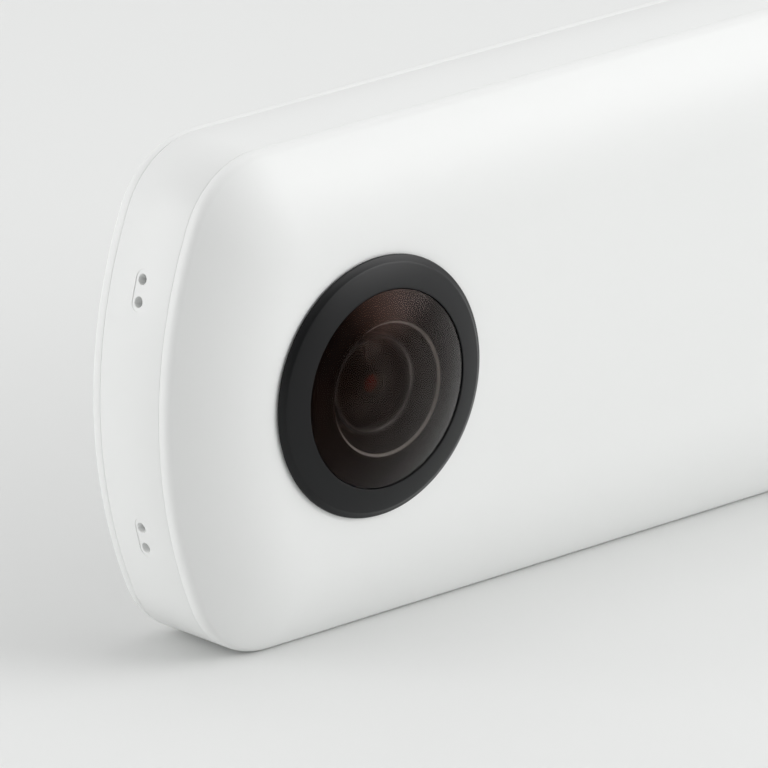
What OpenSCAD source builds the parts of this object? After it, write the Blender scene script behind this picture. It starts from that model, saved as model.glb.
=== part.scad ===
// Slim 360 degree camera with two wide-angle lenses on one axis, lying on its key side.
// X runs from the lens end to the base end, Y along the lens axis, Z from the key side up.
// The rear face looks along -Y, and the front face, with the shutter button, along +Y.

/* [Body] */
// Length from the lens end to the base end
body_l = 130.6; // [126:0.1:136]
// Width from the key side to the plain side
body_w = 45.2; // [44.6:0.1:48]
// Thickness over the flat faces of the two covers
face_t = 16.2; // [16:0.1:17.4]
// Width of the frame band between the two cover seams
band_t = 7.6; // [7.4:0.1:8.2]
// Wall of the frame band
band_wall = 1.6; // [1.3:0.1:1.8]
// Wall of the two covers
cover_wall = 1.4; // [1.1:0.1:1.6]
// Radius of the arched lens end
end_r = 45; // [38:1:60]
// Radius of the corners at the lens end
corner_r = 8.5; // [6:0.5:10]
// Radius of the corners at the base end
base_r = 6; // [4:0.5:7]
// Width of the rolled margin round each cover
roll_w = 10; // [9:0.1:10]
// Straight lip of a cover between its seam and its rounded edge
edge_lip = 0.45; // [0.2:0.05:0.7]
// Radius of the rounded edge of a cover
edge_r = 1.1; // [0.4:0.1:1.4]

/* [Lenses] */
// Distance of the lens axis from the lens end
lens_from_end = 21.4; // [21.2:0.1:23]
// Outer radius of a bezel
bezel_r = 11.75; // [11.4:0.05:11.9]
// Height of a bezel's inner edge above the cover's face
bezel_h = 1.2; // [0.8:0.05:1.4]
// Height of a bezel's straight side
bezel_side = 0.2; // [0.1:0.05:0.3]
// Height of a bezel's outer edge above the cover's face
bezel_edge_h = 0.7; // [0.5:0.05:0.9]
// Width of the chamfer below that edge
bezel_chamfer = 0.6; // [0.4:0.05:0.8]
// Radius of a bezel's neck and of the barrel behind it
neck_r = 10.1; // [9.6:0.1:10.1]
// Radius of a dome lens
dome_r = 8.85; // [8.5:0.05:9.1]
// Height of a dome lens above its bezel
dome_h = 2.15; // [1.8:0.05:2.5]
// Depth of a dome lens's rim below its bezel's face
dome_set = 0.1; // [0.05:0.05:0.4]
// Radius of the hollow in the back of a dome lens
hollow_r = 5.5; // [5.2:0.1:6.6]
// Depth of that hollow
hollow_h = 0.6; // [0.4:0.05:1]
// Depth of a barrel's front below the cover's face
barrel_set = 0.2; // [0.1:0.05:0.3]
// Thickness of the seal under a dome lens
seal_t = 0.4; // [0.3:0.05:0.6]
// Width of that seal
seal_w = 1.4; // [0.8:0.1:1.8]
// Outer radius of the ring that holds an inner lens
ring_r = 4.2; // [4:0.05:4.8]
// Wall of that ring
ring_wall = 0.35; // [0.3:0.05:0.7]
// Depth of the funnel from a barrel's front to that ring
funnel_h = 1.7; // [1.5:0.05:1.9]
// Radius of that funnel's mouth
funnel_r = 6; // [5.3:0.1:6.2]
// Height of that ring above the funnel's floor
ring_proud = 0.8; // [0.4:0.05:0.9]
// Edge thickness of an inner lens
inner_edge = 0.8; // [0.5:0.05:0.9]
// Height of the front curve of an inner lens
inner_crown = 1.1; // [0.6:0.05:1.2]
// Thickness of the barrel's floor under an inner lens
barrel_floor = 0.4; // [0.3:0.05:0.6]
// Radius of the light hole in that floor
light_r = 3.2; // [2.6:0.1:3.4]

/* [Lens unit] */
// Width and height of the optical block
block_w = 18; // [17:0.1:19]
// Thickness of the optical block
block_t = 9.6; // [9:0.1:9.8]
// Depth of a prism below the face of the optical block
prism_set = 0.2; // [0.1:0.05:0.4]
// Wall between the two prisms
prism_web = 0.4; // [0.3:0.05:0.8]
// Length of a prism along X
prism_l = 4.4; // [4:0.1:5]
// Radius of a relay lens
relay_r = 2; // [1.4:0.1:2.1]
// Length of a relay lens
relay_l = 2.4; // [1.6:0.1:3.4]
// Distance of a relay lens from its prism
relay_gap = 0.5; // [0.3:0.1:1.5]
// Length of an image sensor along X
sensor_l = 7.2; // [6:0.1:8]
// Thickness of an image sensor
sensor_t = 1.2; // [0.8:0.1:1.6]
// Length of a sensor board along X
sensor_board_l = 14; // [13:0.1:16]
// Width of a sensor board along Y
sensor_board_w = 10.4; // [10:0.1:11]
// Distance of the sensor screws from the lens axis
sensor_screw_x = 5.6; // [5.4:0.1:6]
// Length of the ears that fix the optical block
ear_l = 4; // [3.6:0.1:5]
// Thickness of those ears
ear_t = 1.5; // [1:0.1:2]
// Height of those ears above and below the lens axis
ear_z = 6; // [5:0.1:6.5]
// Width of a sensor's flexible strip
flex_w = 2; // [1.4:0.1:2.1]
// Thickness of that strip
flex_t = 0.15; // [0.1:0.05:0.3]
// Length of the strip's foot on the main board
flex_foot = 3.5; // [2:0.1:4]

/* [Chassis and battery] */
// Thickness of the chassis plate
plate_t = 1; // [0.8:0.1:1.2]
// Distance of the first pair of frame lugs from the lens axis
lug_from_lens = 19.7; // [19:0.1:21]
// Distance of the second pair of frame lugs from the tripod insert
lug_from_base = 14.5; // [13:0.1:17]
// Length of a frame lug along X
lug_l = 6; // [5:0.1:7]
// Reach of a frame lug into the body
lug_reach = 3.6; // [3:0.1:3.8]
// Height of a frame lug above the chassis plate
lug_h = 2.9; // [2.4:0.1:3]
// Distance of the battery from the lens axis
battery_from_lens = 25.7; // [25:0.1:27]
// Clearance between the battery's connector and the speaker
battery_end_gap = 6; // [3:0.1:8]
// Clearance between the battery and the side key board
battery_gap = 1.3; // [0.8:0.1:3]
// Thickness of the battery
battery_t = 5.2; // [4:0.1:5.4]
// Radius of the battery's long edges
battery_r = 1.2; // [0.5:0.1:1.6]
// Length of the battery connector
plug_l = 4; // [3:0.1:5]
// Width of the battery connector
plug_w = 6; // [4:0.1:8]
// Height of the battery connector
plug_h = 2.1; // [1.4:0.1:3]

/* [Boards] */
// Distance of the main board from the lens axis
board_from_lens = 15.7; // [15.4:0.1:16.5]
// Clearance between the main board and the tripod insert
board_end_gap = 12.5; // [8:0.1:16]
// Clearance between the main board and what stands beside it
board_clear = 0.3; // [0.2:0.05:1]
// Thickness of the main board
board_t = 0.8; // [0.6:0.1:1]
// Height of the main board above the chassis plate
board_gap = 1.7; // [1.5:0.1:2]
// Distance of the board screws from the board's ends
boss_inset_x = 8; // [6.5:0.1:9]
// Distance of the board screws from the board's long edges
boss_inset_z = 2.5; // [2.2:0.1:3]
// Outer radius of the chassis bosses under the board
boss_r = 1.8; // [1.5:0.1:2.2]
// Length and width of the processor
chip_w = 12; // [8:0.5:14]
// Thickness of the processor
chip_t = 1; // [0.6:0.1:1.2]
// Distance of the processor from the shutter axis
chip_x = 16; // [14:0.5:22]
// Length of the shield can
can_l = 11; // [9:0.5:12]
// Width of the shield can
can_w = 11; // [8:0.5:11]
// Height of the shield can
can_h = 1.6; // [1.2:0.1:2]
// Sheet thickness of the shield can
can_wall = 0.2; // [0.15:0.05:0.3]
// Distance of the shield can from the shutter axis
can_x = 10.5; // [10:0.5:12]
// Length of the memory chip
memory_l = 10; // [8:0.5:11]
// Width of the memory chip
memory_w = 8; // [6:0.5:9]
// Thickness of the memory chip
memory_t = 0.9; // [0.6:0.1:1.2]
// Length of the radio module
radio_l = 10; // [8:0.5:11]
// Width of the radio module
radio_w = 9; // [8:0.5:10]
// Height of the radio module
radio_h = 1.4; // [1:0.1:2]
// Distance of the radio module from the board's end
radio_from_end = 15; // [14.5:0.5:17]
// Length of the antenna strip
antenna_l = 28; // [20:0.5:32]
// Distance of the antenna strip from the second frame lugs
antenna_gap = 3; // [1:0.5:6]
// Width of the antenna strip
antenna_w = 2.6; // [2:0.1:2.9]
// Thickness of the antenna strip
antenna_t = 0.3; // [0.2:0.05:0.4]

/* [Buttons and lamps] */
// Distance of the shutter button from the lens axis
shutter_from_lens = 43.7; // [42.5:0.1:45]
// Radius of the shutter button
shutter_r = 5.85; // [5:0.05:6.2]
// Height of the shutter button above the cover's face
shutter_proud = 0.2; // [0.1:0.05:0.3]
// Width of the ring round the shutter button
shutter_ring_w = 1.15; // [0.8:0.05:1.4]
// Travel of the shutter button
shutter_travel = 0.3; // [0.2:0.05:0.35]
// Thickness of a button's flange behind its wall
flange_t = 0.5; // [0.4:0.05:0.6]
// Width of a button's flange beyond its hole
flange_w = 0.6; // [0.4:0.05:0.8]
// Side of the shutter switch
switch_w = 5; // [4.4:0.1:6]
// Height of the shutter switch
switch_h = 1.5; // [1.3:0.05:1.6]
// Radius of the shutter switch's plunger
plunger_r = 1.2; // [0.9:0.05:1.5]
// Distance of the middle side key from the lens axis
keys_from_lens = 41; // [40:0.1:42]
// Distance between side keys
key_pitch = 10; // [9.5:0.1:10.5]
// Length of a side key
key_l = 6; // [5:0.1:6.4]
// Width of a side key
key_w = 2.6; // [2.2:0.1:3]
// Depth of a side key's face below the frame band
key_sunk = 0.1; // [0.05:0.05:0.2]
// Travel of a side key
key_travel = 0.25; // [0.15:0.05:0.3]
// Length of a side switch
side_switch_l = 4.2; // [3.6:0.1:5]
// Width of a side switch
side_switch_w = 3.2; // [2.8:0.1:4]
// Height of a side switch
side_switch_h = 1.7; // [1.5:0.1:1.9]
// Radius of a side switch's plunger
side_plunger_r = 0.85; // [0.6:0.05:1]
// Thickness of the side key board
key_board_t = 0.8; // [0.6:0.1:1]
// Width of the side key board
key_board_w = 5.2; // [4.6:0.1:6]
// Length of the posts that carry the side key board
key_post_l = 2; // [1.5:0.1:2.4]
// Radius of an indicator lamp
lamp_r = 0.8; // [0.5:0.05:1]
// Side of a lamp's light source
led_w = 1.6; // [1.2:0.1:2]
// Height of a lamp's light source
led_h = 0.8; // [0.5:0.05:1]
// Distance of the status lamp from the shutter axis
status_lamp_x = 14; // [12:0.5:16]
// Distance of the first mode lamp from the shutter axis
mode_lamp_x = 12; // [11:0.5:14]
// Distance between mode lamps
lamp_pitch = 4; // [3:0.5:5]

/* [End fittings] */
// Radius of a microphone hole
mic_hole_r = 0.45; // [0.3:0.05:0.5]
// Height of a microphone above or below the lens axis
mic_z = 11.2; // [10:0.1:12]
// Distance between the two holes of a microphone
mic_pitch = 2; // [1.6:0.1:2.2]
// Width of a microphone's rubber boot
boot_w = 5.6; // [5:0.1:6]
// Thickness of a microphone's rubber boot
boot_t = 2; // [1.4:0.1:2.4]
// Width of a microphone
mic_w = 4; // [3:0.1:4.6]
// Thickness of a microphone
mic_t = 1.4; // [1:0.1:1.6]
// Radius of the tripod thread at its crests
thread_r = 2.55; // [2.5:0.01:2.6]
// Depth of the tripod thread
thread_l = 8; // [7:0.1:8.5]
// Outer radius of the tripod insert's nose
nose_r = 3.3; // [3.1:0.05:3.4]
// Outer radius of the tripod insert's collar
collar_r = 3.7; // [3.5:0.05:3.7]
// Depth of the tripod insert's nose below the frame band
nose_sunk = 0.2; // [0.1:0.05:0.4]
// Floor behind the tripod thread
thread_floor = 0.6; // [0.4:0.1:1]
// Distance of the socket and the speaker from the tripod thread
port_z = 12; // [11:0.1:13]
// Width of the data socket
usb_w = 8.6; // [7.6:0.1:9]
// Height of the data socket
usb_h = 3; // [2.6:0.1:3.2]
// Sheet thickness of the data socket
usb_wall = 0.3; // [0.2:0.05:0.4]
// Width of the data socket's tongue
tongue_w = 6.2; // [5:0.1:6.6]
// Thickness of that tongue
tongue_t = 0.7; // [0.5:0.05:0.9]
// Length of that tongue
tongue_l = 5.4; // [4:0.1:6]
// Radius of a speaker hole
speaker_hole_r = 0.5; // [0.4:0.05:0.7]
// Distance between speaker holes
speaker_pitch = 2.4; // [1.8:0.1:2.6]
// Distance of the speaker from the base end's wall
speaker_set = 4.6; // [4:0.1:6]
// Length of the speaker
speaker_l = 9; // [7:0.1:10]
// Width of the speaker
speaker_w = 11; // [8:0.1:11]
// Thickness of the speaker
speaker_t = 4; // [3:0.1:4.4]

/* [Fasteners and clearances] */
// Radius of a screw's thread
screw_r = 0.75; // [0.6:0.05:0.8]
// Radius of a screw's head
head_r = 1.4; // [1.2:0.05:1.5]
// Height of a screw's head
head_h = 0.8; // [0.6:0.05:0.9]
// Depth of a sensor screw's hole in the optical block
sensor_hole_l = 3; // [2.4:0.1:3.2]
// Length of a sensor screw inside the optical block
sensor_bite = 2; // [1.4:0.1:2.2]
// Floor of a switch under its plunger
switch_floor = 0.4; // [0.3:0.05:0.6]
// Clearance of pieces that are fixed together
fit_gap = 0.1; // [0.05:0.01:0.12]
// Clearance round a button
key_gap = 0.15; // [0.12:0.01:0.2]

/* [Hidden] */
$fn = 48;
half_l = body_l / 2;
half_w = body_w / 2;
face_y = face_t / 2;
seam_y = band_t / 2;
plate_y = plate_t / 2;
inner_y = face_y - cover_wall;
inner_z = half_w - band_wall;
base_in = half_l - band_wall;
lens_x = lens_from_end - half_l;
eps = 0.5;

// Rolled margin: a large arc runs from the flat face to the small arc of the edge
edge_y = seam_y + edge_lip;
roll_drop = face_y - edge_y;
roll_r = (pow(roll_w - edge_r, 2) + pow(roll_drop, 2) - pow(edge_r, 2)) / (2 * (roll_drop - edge_r));
roll_cy = face_y - roll_r;
edge_a = atan2(edge_y - roll_cy, roll_w - edge_r);
roll_in_r = roll_r - cover_wall;
roll_in_a = asin((seam_y - roll_cy) / roll_in_r);
roll_steps = 8;
edge_steps = 4;

// Outline of the body seen along the lens axis
corner_blend = 0.6;
corner_min = 2;
corner_steps = 8;
end_steps = 16;
base_steps = 6;
end_cx = end_r - half_l;

// Lens stack, as distances from the middle plane along the lens axis
bezel_top = face_y + bezel_h;
barrel_top = face_y - barrel_set;
dome_seat = barrel_top + seal_t;
dome_top = bezel_top + dome_h;
dome_sag = dome_h + dome_set;
dome_rad = (pow(dome_r, 2) + pow(dome_sag, 2)) / (2 * dome_sag);
hollow_rad = (pow(hollow_r, 2) + pow(hollow_h, 2)) / (2 * hollow_h);
hollow_top = dome_seat + hollow_h;
seal_r = dome_r - fit_gap;
funnel_y = barrel_top - funnel_h;
block_y = block_t / 2;
inner_seat = block_y + barrel_floor;
inner_front = inner_seat + inner_edge;
inner_r = ring_r - ring_wall;
inner_rad = (pow(inner_r, 2) + pow(inner_crown, 2)) / (2 * inner_crown);
prism_leg = block_y - prism_set - prism_web / 2;
prism_y = prism_web / 2 + prism_leg / 2;
sensor_z = block_w / 2;
sensor_board_z = sensor_z + sensor_t;
sensor_board_t = board_t;
flex_z = sensor_board_z + sensor_board_t;

// Side keys, as heights above the key side
key_xs = [for (i = [-1, 0, 1]) lens_x + keys_from_lens + i * key_pitch];
key_flange_z = band_wall + key_gap;
key_back_z = key_flange_z + flange_t;
side_switch_z = key_back_z + key_travel + 2 * key_gap;
key_board_z = side_switch_z + side_switch_h;
key_board_top = key_board_z + key_board_t;
side_plunger_depth = side_switch_h - switch_floor;
key_board_end = key_pitch + key_l / 2 + flange_w + key_gap + key_post_l + eps;

// Chassis, boards and what stands on them
chassis_x0 = lens_x + block_w / 2;
insert_x0 = half_l - nose_sunk - thread_l - thread_floor;
lug_xs = [lens_x + lug_from_lens, insert_x0 - lug_from_base];
lug_z = inner_z - lug_reach / 2;
ear_x = chassis_x0 + ear_l / 2;
speaker_x0 = base_in - speaker_l - speaker_set;
battery_x0 = lens_x + battery_from_lens;
battery_l = speaker_x0 - battery_end_gap - plug_l - fit_gap - battery_x0;
battery_w = 2 * (half_w - key_board_top - battery_gap);
board_x0 = lens_x + board_from_lens;
board_x1 = insert_x0 - board_end_gap;
board_w = 2 * (min(inner_z - lug_reach, half_w - key_board_top) - board_clear);
board_y0 = plate_y + board_gap;
board_y = board_y0 + board_t;
boss_xs = [board_x0 + boss_inset_x, board_x1 - boss_inset_x];
boss_z = board_w / 2 - boss_inset_z;
shutter_x = lens_x + shutter_from_lens;

// Shutter button, as distances from the middle plane
shutter_hole_r = shutter_r + key_gap;
shutter_ring_r = shutter_hole_r + shutter_ring_w;
shutter_flange_y = inner_y - flange_t - key_gap;
shutter_stem_y = board_y + switch_h + shutter_travel + key_gap;
plunger_depth = switch_h - switch_floor;

// Lamps and end fittings
lamp_xs = [shutter_x - status_lamp_x, shutter_x + mode_lamp_x, shutter_x + mode_lamp_x + lamp_pitch];
mic_a = asin(mic_z / end_r);
mic_step_a = asin(mic_pitch / 2 / end_r);
mic_in = end_r - band_wall;
boot_r = mic_in - 2 * fit_gap - boot_t;

rear = -1;
front = 1;

// Places a piece drawn with +Z pointing out of the rear or the front face
module facing(side, x = 0)
    translate([x, 0, half_w]) rotate([side == rear ? 90 : -90, 0, 0]) children();

// Box between pairs of limits, with its Z limits counted from the lens axis
module brick(xs, ys, zs)
    translate([xs[0], ys[0], half_w + zs[0]])
        cube([xs[1] - xs[0], ys[1] - ys[0], zs[1] - zs[0]]);

// Rod along +Y
module rod_y(x, z, ys, r)
    translate([x, ys[0], half_w + z]) rotate([-90, 0, 0]) cylinder(h = ys[1] - ys[0], r = r);

// Ring or disc drawn along +Z
module ring(zs, r_out, r_in = 0)
    translate([0, 0, zs[0]]) difference() {
        cylinder(h = zs[1] - zs[0], r = r_out);
        if (r_in > 0) translate([0, 0, -eps]) cylinder(h = zs[1] - zs[0] + 2 * eps, r = r_in);
    }

// Flat piece cut from a shape drawn in X and Z about the lens axis
module sheet_y(ys)
    translate([0, ys[1], half_w]) rotate([90, 0, 0]) linear_extrude(ys[1] - ys[0]) children();

// Slot with round ends
module oblong(l, w) {
    square([l - w, w], center = true);
    for (s = [-1, 1]) translate([s * (l - w) / 2, 0]) circle(d = w);
}

// Screw along +Y with its head on the side that dir points to
module screw_y(x, z, seat_y, length, dir) {
    ends = [seat_y, seat_y - dir * length];
    heads = [seat_y, seat_y + dir * head_h];
    rod_y(x, z, [min(ends), max(ends)], screw_r);
    rod_y(x, z, [min(heads), max(heads)], head_r);
}

function arc_pts(c, r, a0, a1, n) =
    [for (i = [0:n]) let (a = a0 + (a1 - a0) * i / n) c + r * [cos(a), sin(a)]];

// Outline of the body, drawn in by d
function outline(d) =
    let (
        h = half_w - d,
        er = end_r - d,
        rc = max(corner_r - corner_blend * d, corner_min),
        rb = max(base_r - corner_blend * d, corner_min),
        kz = h - rc,
        kx = end_cx - sqrt(pow(er - rc, 2) - pow(kz, 2)),
        a = atan2(kz, end_cx - kx),
        bx = half_l - d - rb,
        step = 2 * a / end_steps
    )
    concat(
        arc_pts([kx, kz], rc, 90, 180 - a, corner_steps),
        arc_pts([end_cx, 0], er, 180 - a + step, 180 + a - step, end_steps - 2),
        arc_pts([kx, -kz], rc, 180 + a, 270, corner_steps),
        arc_pts([bx, rb - h], rb, 270, 360, base_steps),
        arc_pts([bx, h - rb], rb, 0, 90, base_steps)
    );

// Cover profile from the flat face, over the edge to the seam and back inside, as [inset, height]
roll_out = [for (i = [0:roll_steps]) let (a = 90 - (90 - edge_a) * i / roll_steps)
    [roll_w - roll_r * cos(a), roll_cy + roll_r * sin(a)]];
edge_out = [for (i = [1:edge_steps]) let (a = edge_a * (1 - i / edge_steps))
    [edge_r - edge_r * cos(a), edge_y + edge_r * sin(a)]];
roll_in = [for (i = [0:roll_steps]) let (a = roll_in_a + (90 - roll_in_a) * i / roll_steps)
    [max(cover_wall, roll_w - roll_in_r * cos(a)), roll_cy + roll_in_r * sin(a)]];
cover_profile = concat(roll_out, edge_out, [[0, seam_y]], roll_in);

// Closed shell of a cover, with its face up
module cover_shell() {
    n = len(outline(0));
    last = len(cover_profile) - 1;
    points = [for (p = cover_profile) for (q = outline(p[0])) [q[0], q[1], p[1]]];
    sides = [for (k = [0:last - 1]) for (i = [0:n - 1])
        let (j = (i + 1) % n, low = (k + 1) * n, high = k * n)
        each [[low + i, high + i, high + j], [low + i, high + j, low + j]]];
    top = [for (i = [n - 1:-1:0]) i];
    inside = [for (i = [0:n - 1]) last * n + i];
    polyhedron(points, concat([top, inside], sides), convexity = 4);
}

module lens_hole()
    translate([lens_x, 0, 0]) ring([0, face_y + eps], neck_r + fit_gap);

module rear_cover() color("white") facing(rear) difference() {
    cover_shell();
    lens_hole();
}

module front_cover() color("white") facing(front) difference() {
    cover_shell();
    lens_hole();
    translate([shutter_x, 0, 0]) ring([0, face_y + eps], shutter_ring_r + fit_gap / 2);
    for (x = lamp_xs) translate([x, 0, 0]) ring([0, face_y + eps], lamp_r + fit_gap / 2);
}

// Radial place on the arched lens end, with +Z pointing outwards along the radius
module on_lens_end(a)
    translate([end_cx, 0, half_w]) rotate([0, a - 90, 0]) children();

module frame_band() color("whitesmoke") difference() {
    union() {
        sheet_y([-seam_y, seam_y]) difference() {
            polygon(outline(0));
            polygon(outline(band_wall));
        }
        for (x = lug_xs) for (s = [-1, 1])
            brick([x - lug_l / 2, x + lug_l / 2], [plate_y, plate_y + lug_h],
                s > 0 ? [inner_z - lug_reach, inner_z + band_wall / 2]
                      : [-inner_z - band_wall / 2, -inner_z + lug_reach]);
        for (s = [-1, 1]) translate([key_xs[1] + s * (key_board_end - key_post_l / 2), 0, 0])
            translate([-key_post_l / 2, -key_board_w / 2, band_wall / 2])
                cube([key_post_l, key_board_w, key_board_z - band_wall / 2]);
    }
    for (x = lug_xs) for (s = [-1, 1]) rod_y(x, s * lug_z, [-seam_y, seam_y], screw_r + fit_gap / 2);
    for (s = [-1, 1]) for (t = [-1, 1]) on_lens_end(s * mic_a + t * mic_step_a)
        ring([mic_in - eps, end_r + eps], mic_hole_r);
    for (x = key_xs) translate([x, 0, -eps])
        linear_extrude(band_wall + 2 * eps) oblong(key_l + 2 * key_gap, key_w + 2 * key_gap);
    translate([base_in - eps, 0, half_w]) rotate([0, 90, 0])
        ring([0, band_wall + 2 * eps], nose_r + fit_gap / 2);
    translate([base_in - eps, 0, half_w - port_z]) rotate([90, 0, 90])
        linear_extrude(band_wall + 2 * eps) usb_outline(fit_gap);
    for (i = [-1, 0, 1]) translate([base_in - eps, 0, half_w + port_z + i * speaker_pitch])
        rotate([0, 90, 0]) ring([0, band_wall + 2 * eps], speaker_hole_r);
}

module bezel() rotate_extrude() polygon([
    [dome_r + fit_gap, barrel_top], [neck_r, barrel_top], [neck_r, face_y], [bezel_r, face_y],
    [bezel_r, face_y + bezel_side], [bezel_r - bezel_chamfer, face_y + bezel_edge_h],
    [dome_r + fit_gap, bezel_top]]);
module rear_bezel() color("#26282b") facing(rear, lens_x) bezel();
module front_bezel() color("#26282b") facing(front, lens_x) bezel();

module dome_lens() difference() {
    intersection() {
        translate([0, 0, dome_top - dome_rad]) sphere(r = dome_rad);
        ring([dome_seat, dome_top + eps], dome_r);
    }
    translate([0, 0, hollow_top - hollow_rad]) sphere(r = hollow_rad);
}
module rear_dome_lens() color("#2b2320") facing(rear, lens_x) dome_lens();
module front_dome_lens() color("#2b2320") facing(front, lens_x) dome_lens();

module lens_seal() ring([barrel_top, dome_seat], seal_r, seal_r - seal_w);
module rear_lens_seal() color("#101010") facing(rear, lens_x) lens_seal();
module front_lens_seal() color("#101010") facing(front, lens_x) lens_seal();

module inner_ring() ring([inner_front, funnel_y + ring_proud], ring_r, inner_r);
module rear_inner_ring() color("#1c1c1e") facing(rear, lens_x) inner_ring();
module front_inner_ring() color("#1c1c1e") facing(front, lens_x) inner_ring();

module inner_lens() {
    ring([inner_seat, inner_front], ring_r);
    intersection() {
        translate([0, 0, inner_front + inner_crown - inner_rad]) sphere(r = inner_rad);
        ring([inner_seat, inner_front + inner_crown + eps], inner_r - fit_gap);
    }
}
module rear_inner_lens() color("#1a1416") facing(rear, lens_x) inner_lens();
module front_inner_lens() color("#1a1416") facing(front, lens_x) inner_lens();

module lens_barrel() difference() {
    ring([block_y, barrel_top], neck_r);
    ring([inner_seat, barrel_top + eps], ring_r + fit_gap / 2);
    translate([0, 0, funnel_y]) cylinder(h = funnel_h, r1 = ring_r + fit_gap / 2, r2 = funnel_r);
    ring([block_y - eps, inner_seat + eps], light_r);
}
module rear_lens_barrel() color("#18181a") facing(rear, lens_x) lens_barrel();
module front_lens_barrel() color("#18181a") facing(front, lens_x) lens_barrel();

// Prism pocket and relay bore of one lens, drawn with its face up and its sensor towards +Y
module light_path() {
    half_p = prism_l / 2 + fit_gap;
    half_leg = prism_leg / 2 + fit_gap;
    translate([-half_p, -half_leg, prism_web / 2 - fit_gap])
        cube([2 * half_p, 2 * half_leg, block_y]);
    translate([0, prism_leg / 2, prism_y]) rotate([-90, 0, 0])
        cylinder(h = block_w, r = relay_r + fit_gap);
}

module optical_block() color("#3a3a3e") difference() {
    union() {
        brick([lens_x - block_w / 2, lens_x + block_w / 2], [-block_y, block_y],
            [-block_w / 2, block_w / 2]);
        for (s = [-1, 1]) brick([chassis_x0 - eps, chassis_x0 + ear_l], [plate_y, plate_y + ear_t],
            [s * ear_z - ear_l / 2, s * ear_z + ear_l / 2]);
    }
    for (side = [rear, front]) facing(side, lens_x) light_path();
    for (s = [-1, 1]) rod_y(ear_x, s * ear_z, [0, block_y], screw_r + fit_gap);
    for (s = [-1, 1]) for (x = [-1, 1])
        translate([lens_x + x * sensor_screw_x, 0, half_w + s * (sensor_z - sensor_hole_l)])
            rotate([s > 0 ? 0 : 180, 0, 0]) cylinder(h = sensor_hole_l + eps, r = screw_r + fit_gap / 2);
}

// Right-angle prism: light enters from the face above and leaves towards +Y
module prism()
    translate([-prism_l / 2, 0, prism_y]) rotate([90, 0, 90]) linear_extrude(prism_l)
        polygon(prism_leg / 2 * [[-1, 1], [1, 1], [1, -1]]);
module rear_prism() color("#9fb3b8") facing(rear, lens_x) prism();
module front_prism() color("#9fb3b8") facing(front, lens_x) prism();

module relay_lens()
    translate([0, prism_leg / 2 + relay_gap, prism_y]) rotate([-90, 0, 0])
        cylinder(h = relay_l, r = relay_r);
module rear_relay_lens() color("#8fa7ad") facing(rear, lens_x) relay_lens();
module front_relay_lens() color("#8fa7ad") facing(front, lens_x) relay_lens();

module sensor()
    translate([-sensor_l / 2, sensor_z, prism_y - prism_leg / 2])
        cube([sensor_l, sensor_t, prism_leg]);
module rear_sensor() color("#2f4f5f") facing(rear, lens_x) sensor();
module front_sensor() color("#2f4f5f") facing(front, lens_x) sensor();

module sensor_board() difference() {
    translate([-sensor_board_l / 2, sensor_board_z, -sensor_board_w / 2])
        cube([sensor_board_l, sensor_board_t, sensor_board_w]);
    for (x = [-1, 1]) translate([x * sensor_screw_x, sensor_board_z - eps, 0]) rotate([-90, 0, 0])
        cylinder(h = sensor_board_t + 2 * eps, r = screw_r + fit_gap);
}
module rear_sensor_board() color("#20603a") facing(rear, lens_x) sensor_board();
module front_sensor_board() color("#20603a") facing(front, lens_x) sensor_board();

module sensor_screws() color("silver") for (side = [rear, front]) facing(side, lens_x)
    for (x = [-1, 1]) translate([x * sensor_screw_x, 0, 0]) rotate([-90, 0, 0]) {
        ring([sensor_z - sensor_bite, flex_z], screw_r);
        ring([flex_z, flex_z + head_h], head_r);
    }

module lens_unit_screws() color("silver") for (s = [-1, 1])
    screw_y(ear_x, s * ear_z, plate_y + ear_t, ear_t + plate_t, 1);

// Strip from a sensor board to the main board, drawn above the lens axis
module sensor_flex() {
    x0 = lens_x + sensor_screw_x - head_r - flex_w;
    x1 = board_x0 + flex_foot;
    brick([x0, x1], [board_y, board_y + flex_w], [flex_z, flex_z + flex_t]);
    brick([board_x0, x1], [board_y, board_y + flex_t], [flex_z, flex_z + flex_foot]);
}
module rear_sensor_flex() color("#b5722a") sensor_flex();
module front_sensor_flex() color("#b5722a")
    translate([0, 0, body_w]) mirror([0, 0, 1]) sensor_flex();

module chassis_plate() color("#8c9196") difference() {
    union() {
        brick([chassis_x0, insert_x0], [-plate_y, plate_y], [fit_gap - inner_z, inner_z - fit_gap]);
        for (x = boss_xs) for (s = [-1, 1]) rod_y(x, s * boss_z, [0, board_y0], boss_r);
    }
    for (x = lug_xs) for (s = [-1, 1])
        rod_y(x, s * lug_z, [-plate_t, plate_t], screw_r + fit_gap);
    for (x = boss_xs) for (s = [-1, 1])
        rod_y(x, s * boss_z, [-plate_t, board_y0 + eps], screw_r + fit_gap / 2);
    for (s = [-1, 1]) rod_y(ear_x, s * ear_z, [-plate_t, plate_t], screw_r + fit_gap / 2);
    keys_x = key_board_end + fit_gap;
    brick([key_xs[1] - keys_x, key_xs[1] + keys_x], [-plate_t, plate_t],
        [-half_w, key_board_top + fit_gap - half_w]);
}

module chassis_screws() color("silver") for (x = lug_xs) for (s = [-1, 1])
    screw_y(x, s * lug_z, -plate_y, plate_t + lug_h - eps, -1);

module battery_cell() color("#3f5f86")
    translate([battery_x0, -plate_y, half_w]) rotate([90, 0, 90]) linear_extrude(battery_l)
        translate([-battery_t / 2, 0]) {
            square([battery_t, battery_w - 2 * battery_r], center = true);
            square([battery_t - 2 * battery_r, battery_w], center = true);
            for (s = [-1, 1]) for (t = [-1, 1])
                translate([s * (battery_t / 2 - battery_r), t * (battery_w / 2 - battery_r)])
                    circle(r = battery_r);
        }

module battery_connector() color("#d8d4c4") {
    x0 = battery_x0 + battery_l + fit_gap;
    brick([x0, x0 + plug_l], [-plate_y - plug_h, -plate_y], [-plug_w / 2, plug_w / 2]);
}

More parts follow.
